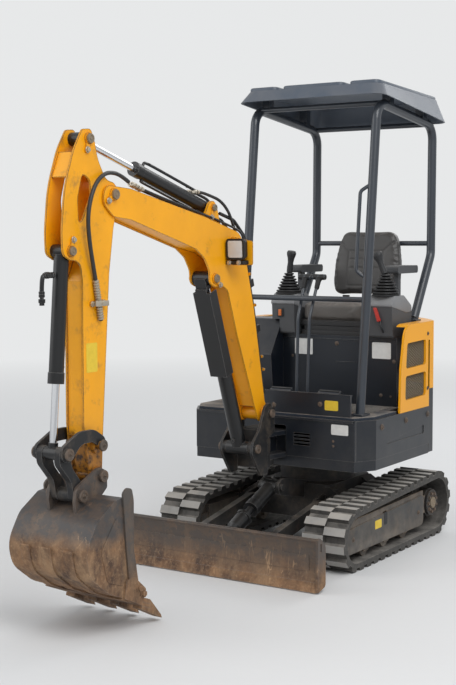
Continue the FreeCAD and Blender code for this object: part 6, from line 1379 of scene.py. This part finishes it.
class EXCAVATOR_OT_pin_ends(bpy.types.Operator):
    """Makes the collars, keepers and bolts of the pins"""

    bl_idname = "excavator.pin_ends"
    bl_label = "Pin ends"

    def execute(self, context):
        make_pin_ends()
        return {"FINISHED"}


class EXCAVATOR_OT_lines(bpy.types.Operator):
    """Makes the steel lines, hoses and fittings"""

    bl_idname = "excavator.lines"
    bl_label = "Lines and hoses"

    def execute(self, context):
        make_lines()
        return {"FINISHED"}


class EXCAVATOR_OT_lamp(bpy.types.Operator):
    """Makes the work lamp"""

    bl_idname = "excavator.lamp"
    bl_label = "Work lamp"

    def execute(self, context):
        make_lamp()
        return {"FINISHED"}


class EXCAVATOR_OT_hood_mesh(bpy.types.Operator):
    """Makes the expanded metal in the hood"""

    bl_idname = "excavator.hood_mesh"
    bl_label = "Hood mesh"

    def execute(self, context):
        make_hood_mesh()
        return {"FINISHED"}


class EXCAVATOR_OT_seat(bpy.types.Operator):
    """Makes the sewn cushion and backrest"""

    bl_idname = "excavator.seat"
    bl_label = "Seat"

    def execute(self, context):
        make_seat()
        return {"FINISHED"}


class EXCAVATOR_OT_controls(bpy.types.Operator):
    """Makes the joysticks, console trim and lever handles"""

    bl_idname = "excavator.controls"
    bl_label = "Controls"

    def execute(self, context):
        make_controls()
        return {"FINISHED"}


class EXCAVATOR_OT_labels(bpy.types.Operator):
    """Makes the blank labels"""

    bl_idname = "excavator.labels"
    bl_label = "Labels"

    def execute(self, context):
        make_labels()
        return {"FINISHED"}


class EXCAVATOR_OT_house_trim(bpy.types.Operator):
    """Makes the house's bolts, beads, roof pads and mat"""

    bl_idname = "excavator.house_trim"
    bl_label = "House trim"

    def execute(self, context):
        make_house_trim()
        return {"FINISHED"}


class EXCAVATOR_OT_undercarriage(bpy.types.Operator):
    """Makes the undercarriage's bolts and lines"""

    bl_idname = "excavator.undercarriage"
    bl_label = "Undercarriage trim"

    def execute(self, context):
        make_undercarriage_trim()
        return {"FINISHED"}


class EXCAVATOR_OT_frame_covers(bpy.types.Operator):
    """Makes the track frames' cover plates and the blade rod's sleeve"""

    bl_idname = "excavator.frame_covers"
    bl_label = "Frame covers"

    def execute(self, context):
        make_frame_covers()
        return {"FINISHED"}


class EXCAVATOR_OT_bucket_trim(bpy.types.Operator):
    """Makes the bucket's edge strips, pressings and bolts"""

    bl_idname = "excavator.bucket_trim"
    bl_label = "Bucket trim"

    def execute(self, context):
        make_bucket_trim()
        return {"FINISHED"}


class EXCAVATOR_OT_stage(bpy.types.Operator):
    """Makes the floor, the light and the camera"""

    bl_idname = "excavator.stage"
    bl_label = "Stage"

    def execute(self, context):
        stage = context.scene.excavator_stage
        make_floor(stage.floor_tone)
        make_world(stage.sky)
        make_lamps(stage.lamp_power)
        make_camera()
        context.scene.view_settings.view_transform = "Standard"
        return {"FINISHED"}


OPERATORS = (EXCAVATOR_OT_finishes, EXCAVATOR_OT_stage, EXCAVATOR_OT_pin_ends, EXCAVATOR_OT_lines, EXCAVATOR_OT_lamp, EXCAVATOR_OT_hood_mesh,
             EXCAVATOR_OT_seat, EXCAVATOR_OT_controls, EXCAVATOR_OT_labels, EXCAVATOR_OT_house_trim, EXCAVATOR_OT_undercarriage, EXCAVATOR_OT_frame_covers,
             EXCAVATOR_OT_bucket_trim)


class EXCAVATOR_PT_panel(bpy.types.Panel):
    """Settings and pieces of the excavator"""

    bl_idname = "EXCAVATOR_PT_panel"
    bl_label = "Excavator"
    bl_space_type = "VIEW_3D"
    bl_region_type = "UI"
    bl_category = "Excavator"

    def draw(self, context):
        for group in (context.scene.excavator_paint, context.scene.excavator_stage):
            box = self.layout.box()
            for name in group.__annotations__:
                box.prop(group, name)
        for operator in OPERATORS:
            self.layout.operator(operator.bl_idname)


CLASSES = (PaintSettings, StageSettings) + OPERATORS + (EXCAVATOR_PT_panel,)


def register():
    for item in CLASSES:
        bpy.utils.register_class(item)
    bpy.types.Scene.excavator_paint = PointerProperty(type=PaintSettings)
    bpy.types.Scene.excavator_stage = PointerProperty(type=StageSettings)


def unregister():
    del bpy.types.Scene.excavator_paint
    del bpy.types.Scene.excavator_stage
    for item in reversed(CLASSES):
        bpy.utils.unregister_class(item)


def main():
    register()
    for operator in OPERATORS:
        group, name = operator.bl_idname.split(".")
        getattr(getattr(bpy.ops, group), name)()


if __name__ == "__main__":
    main()
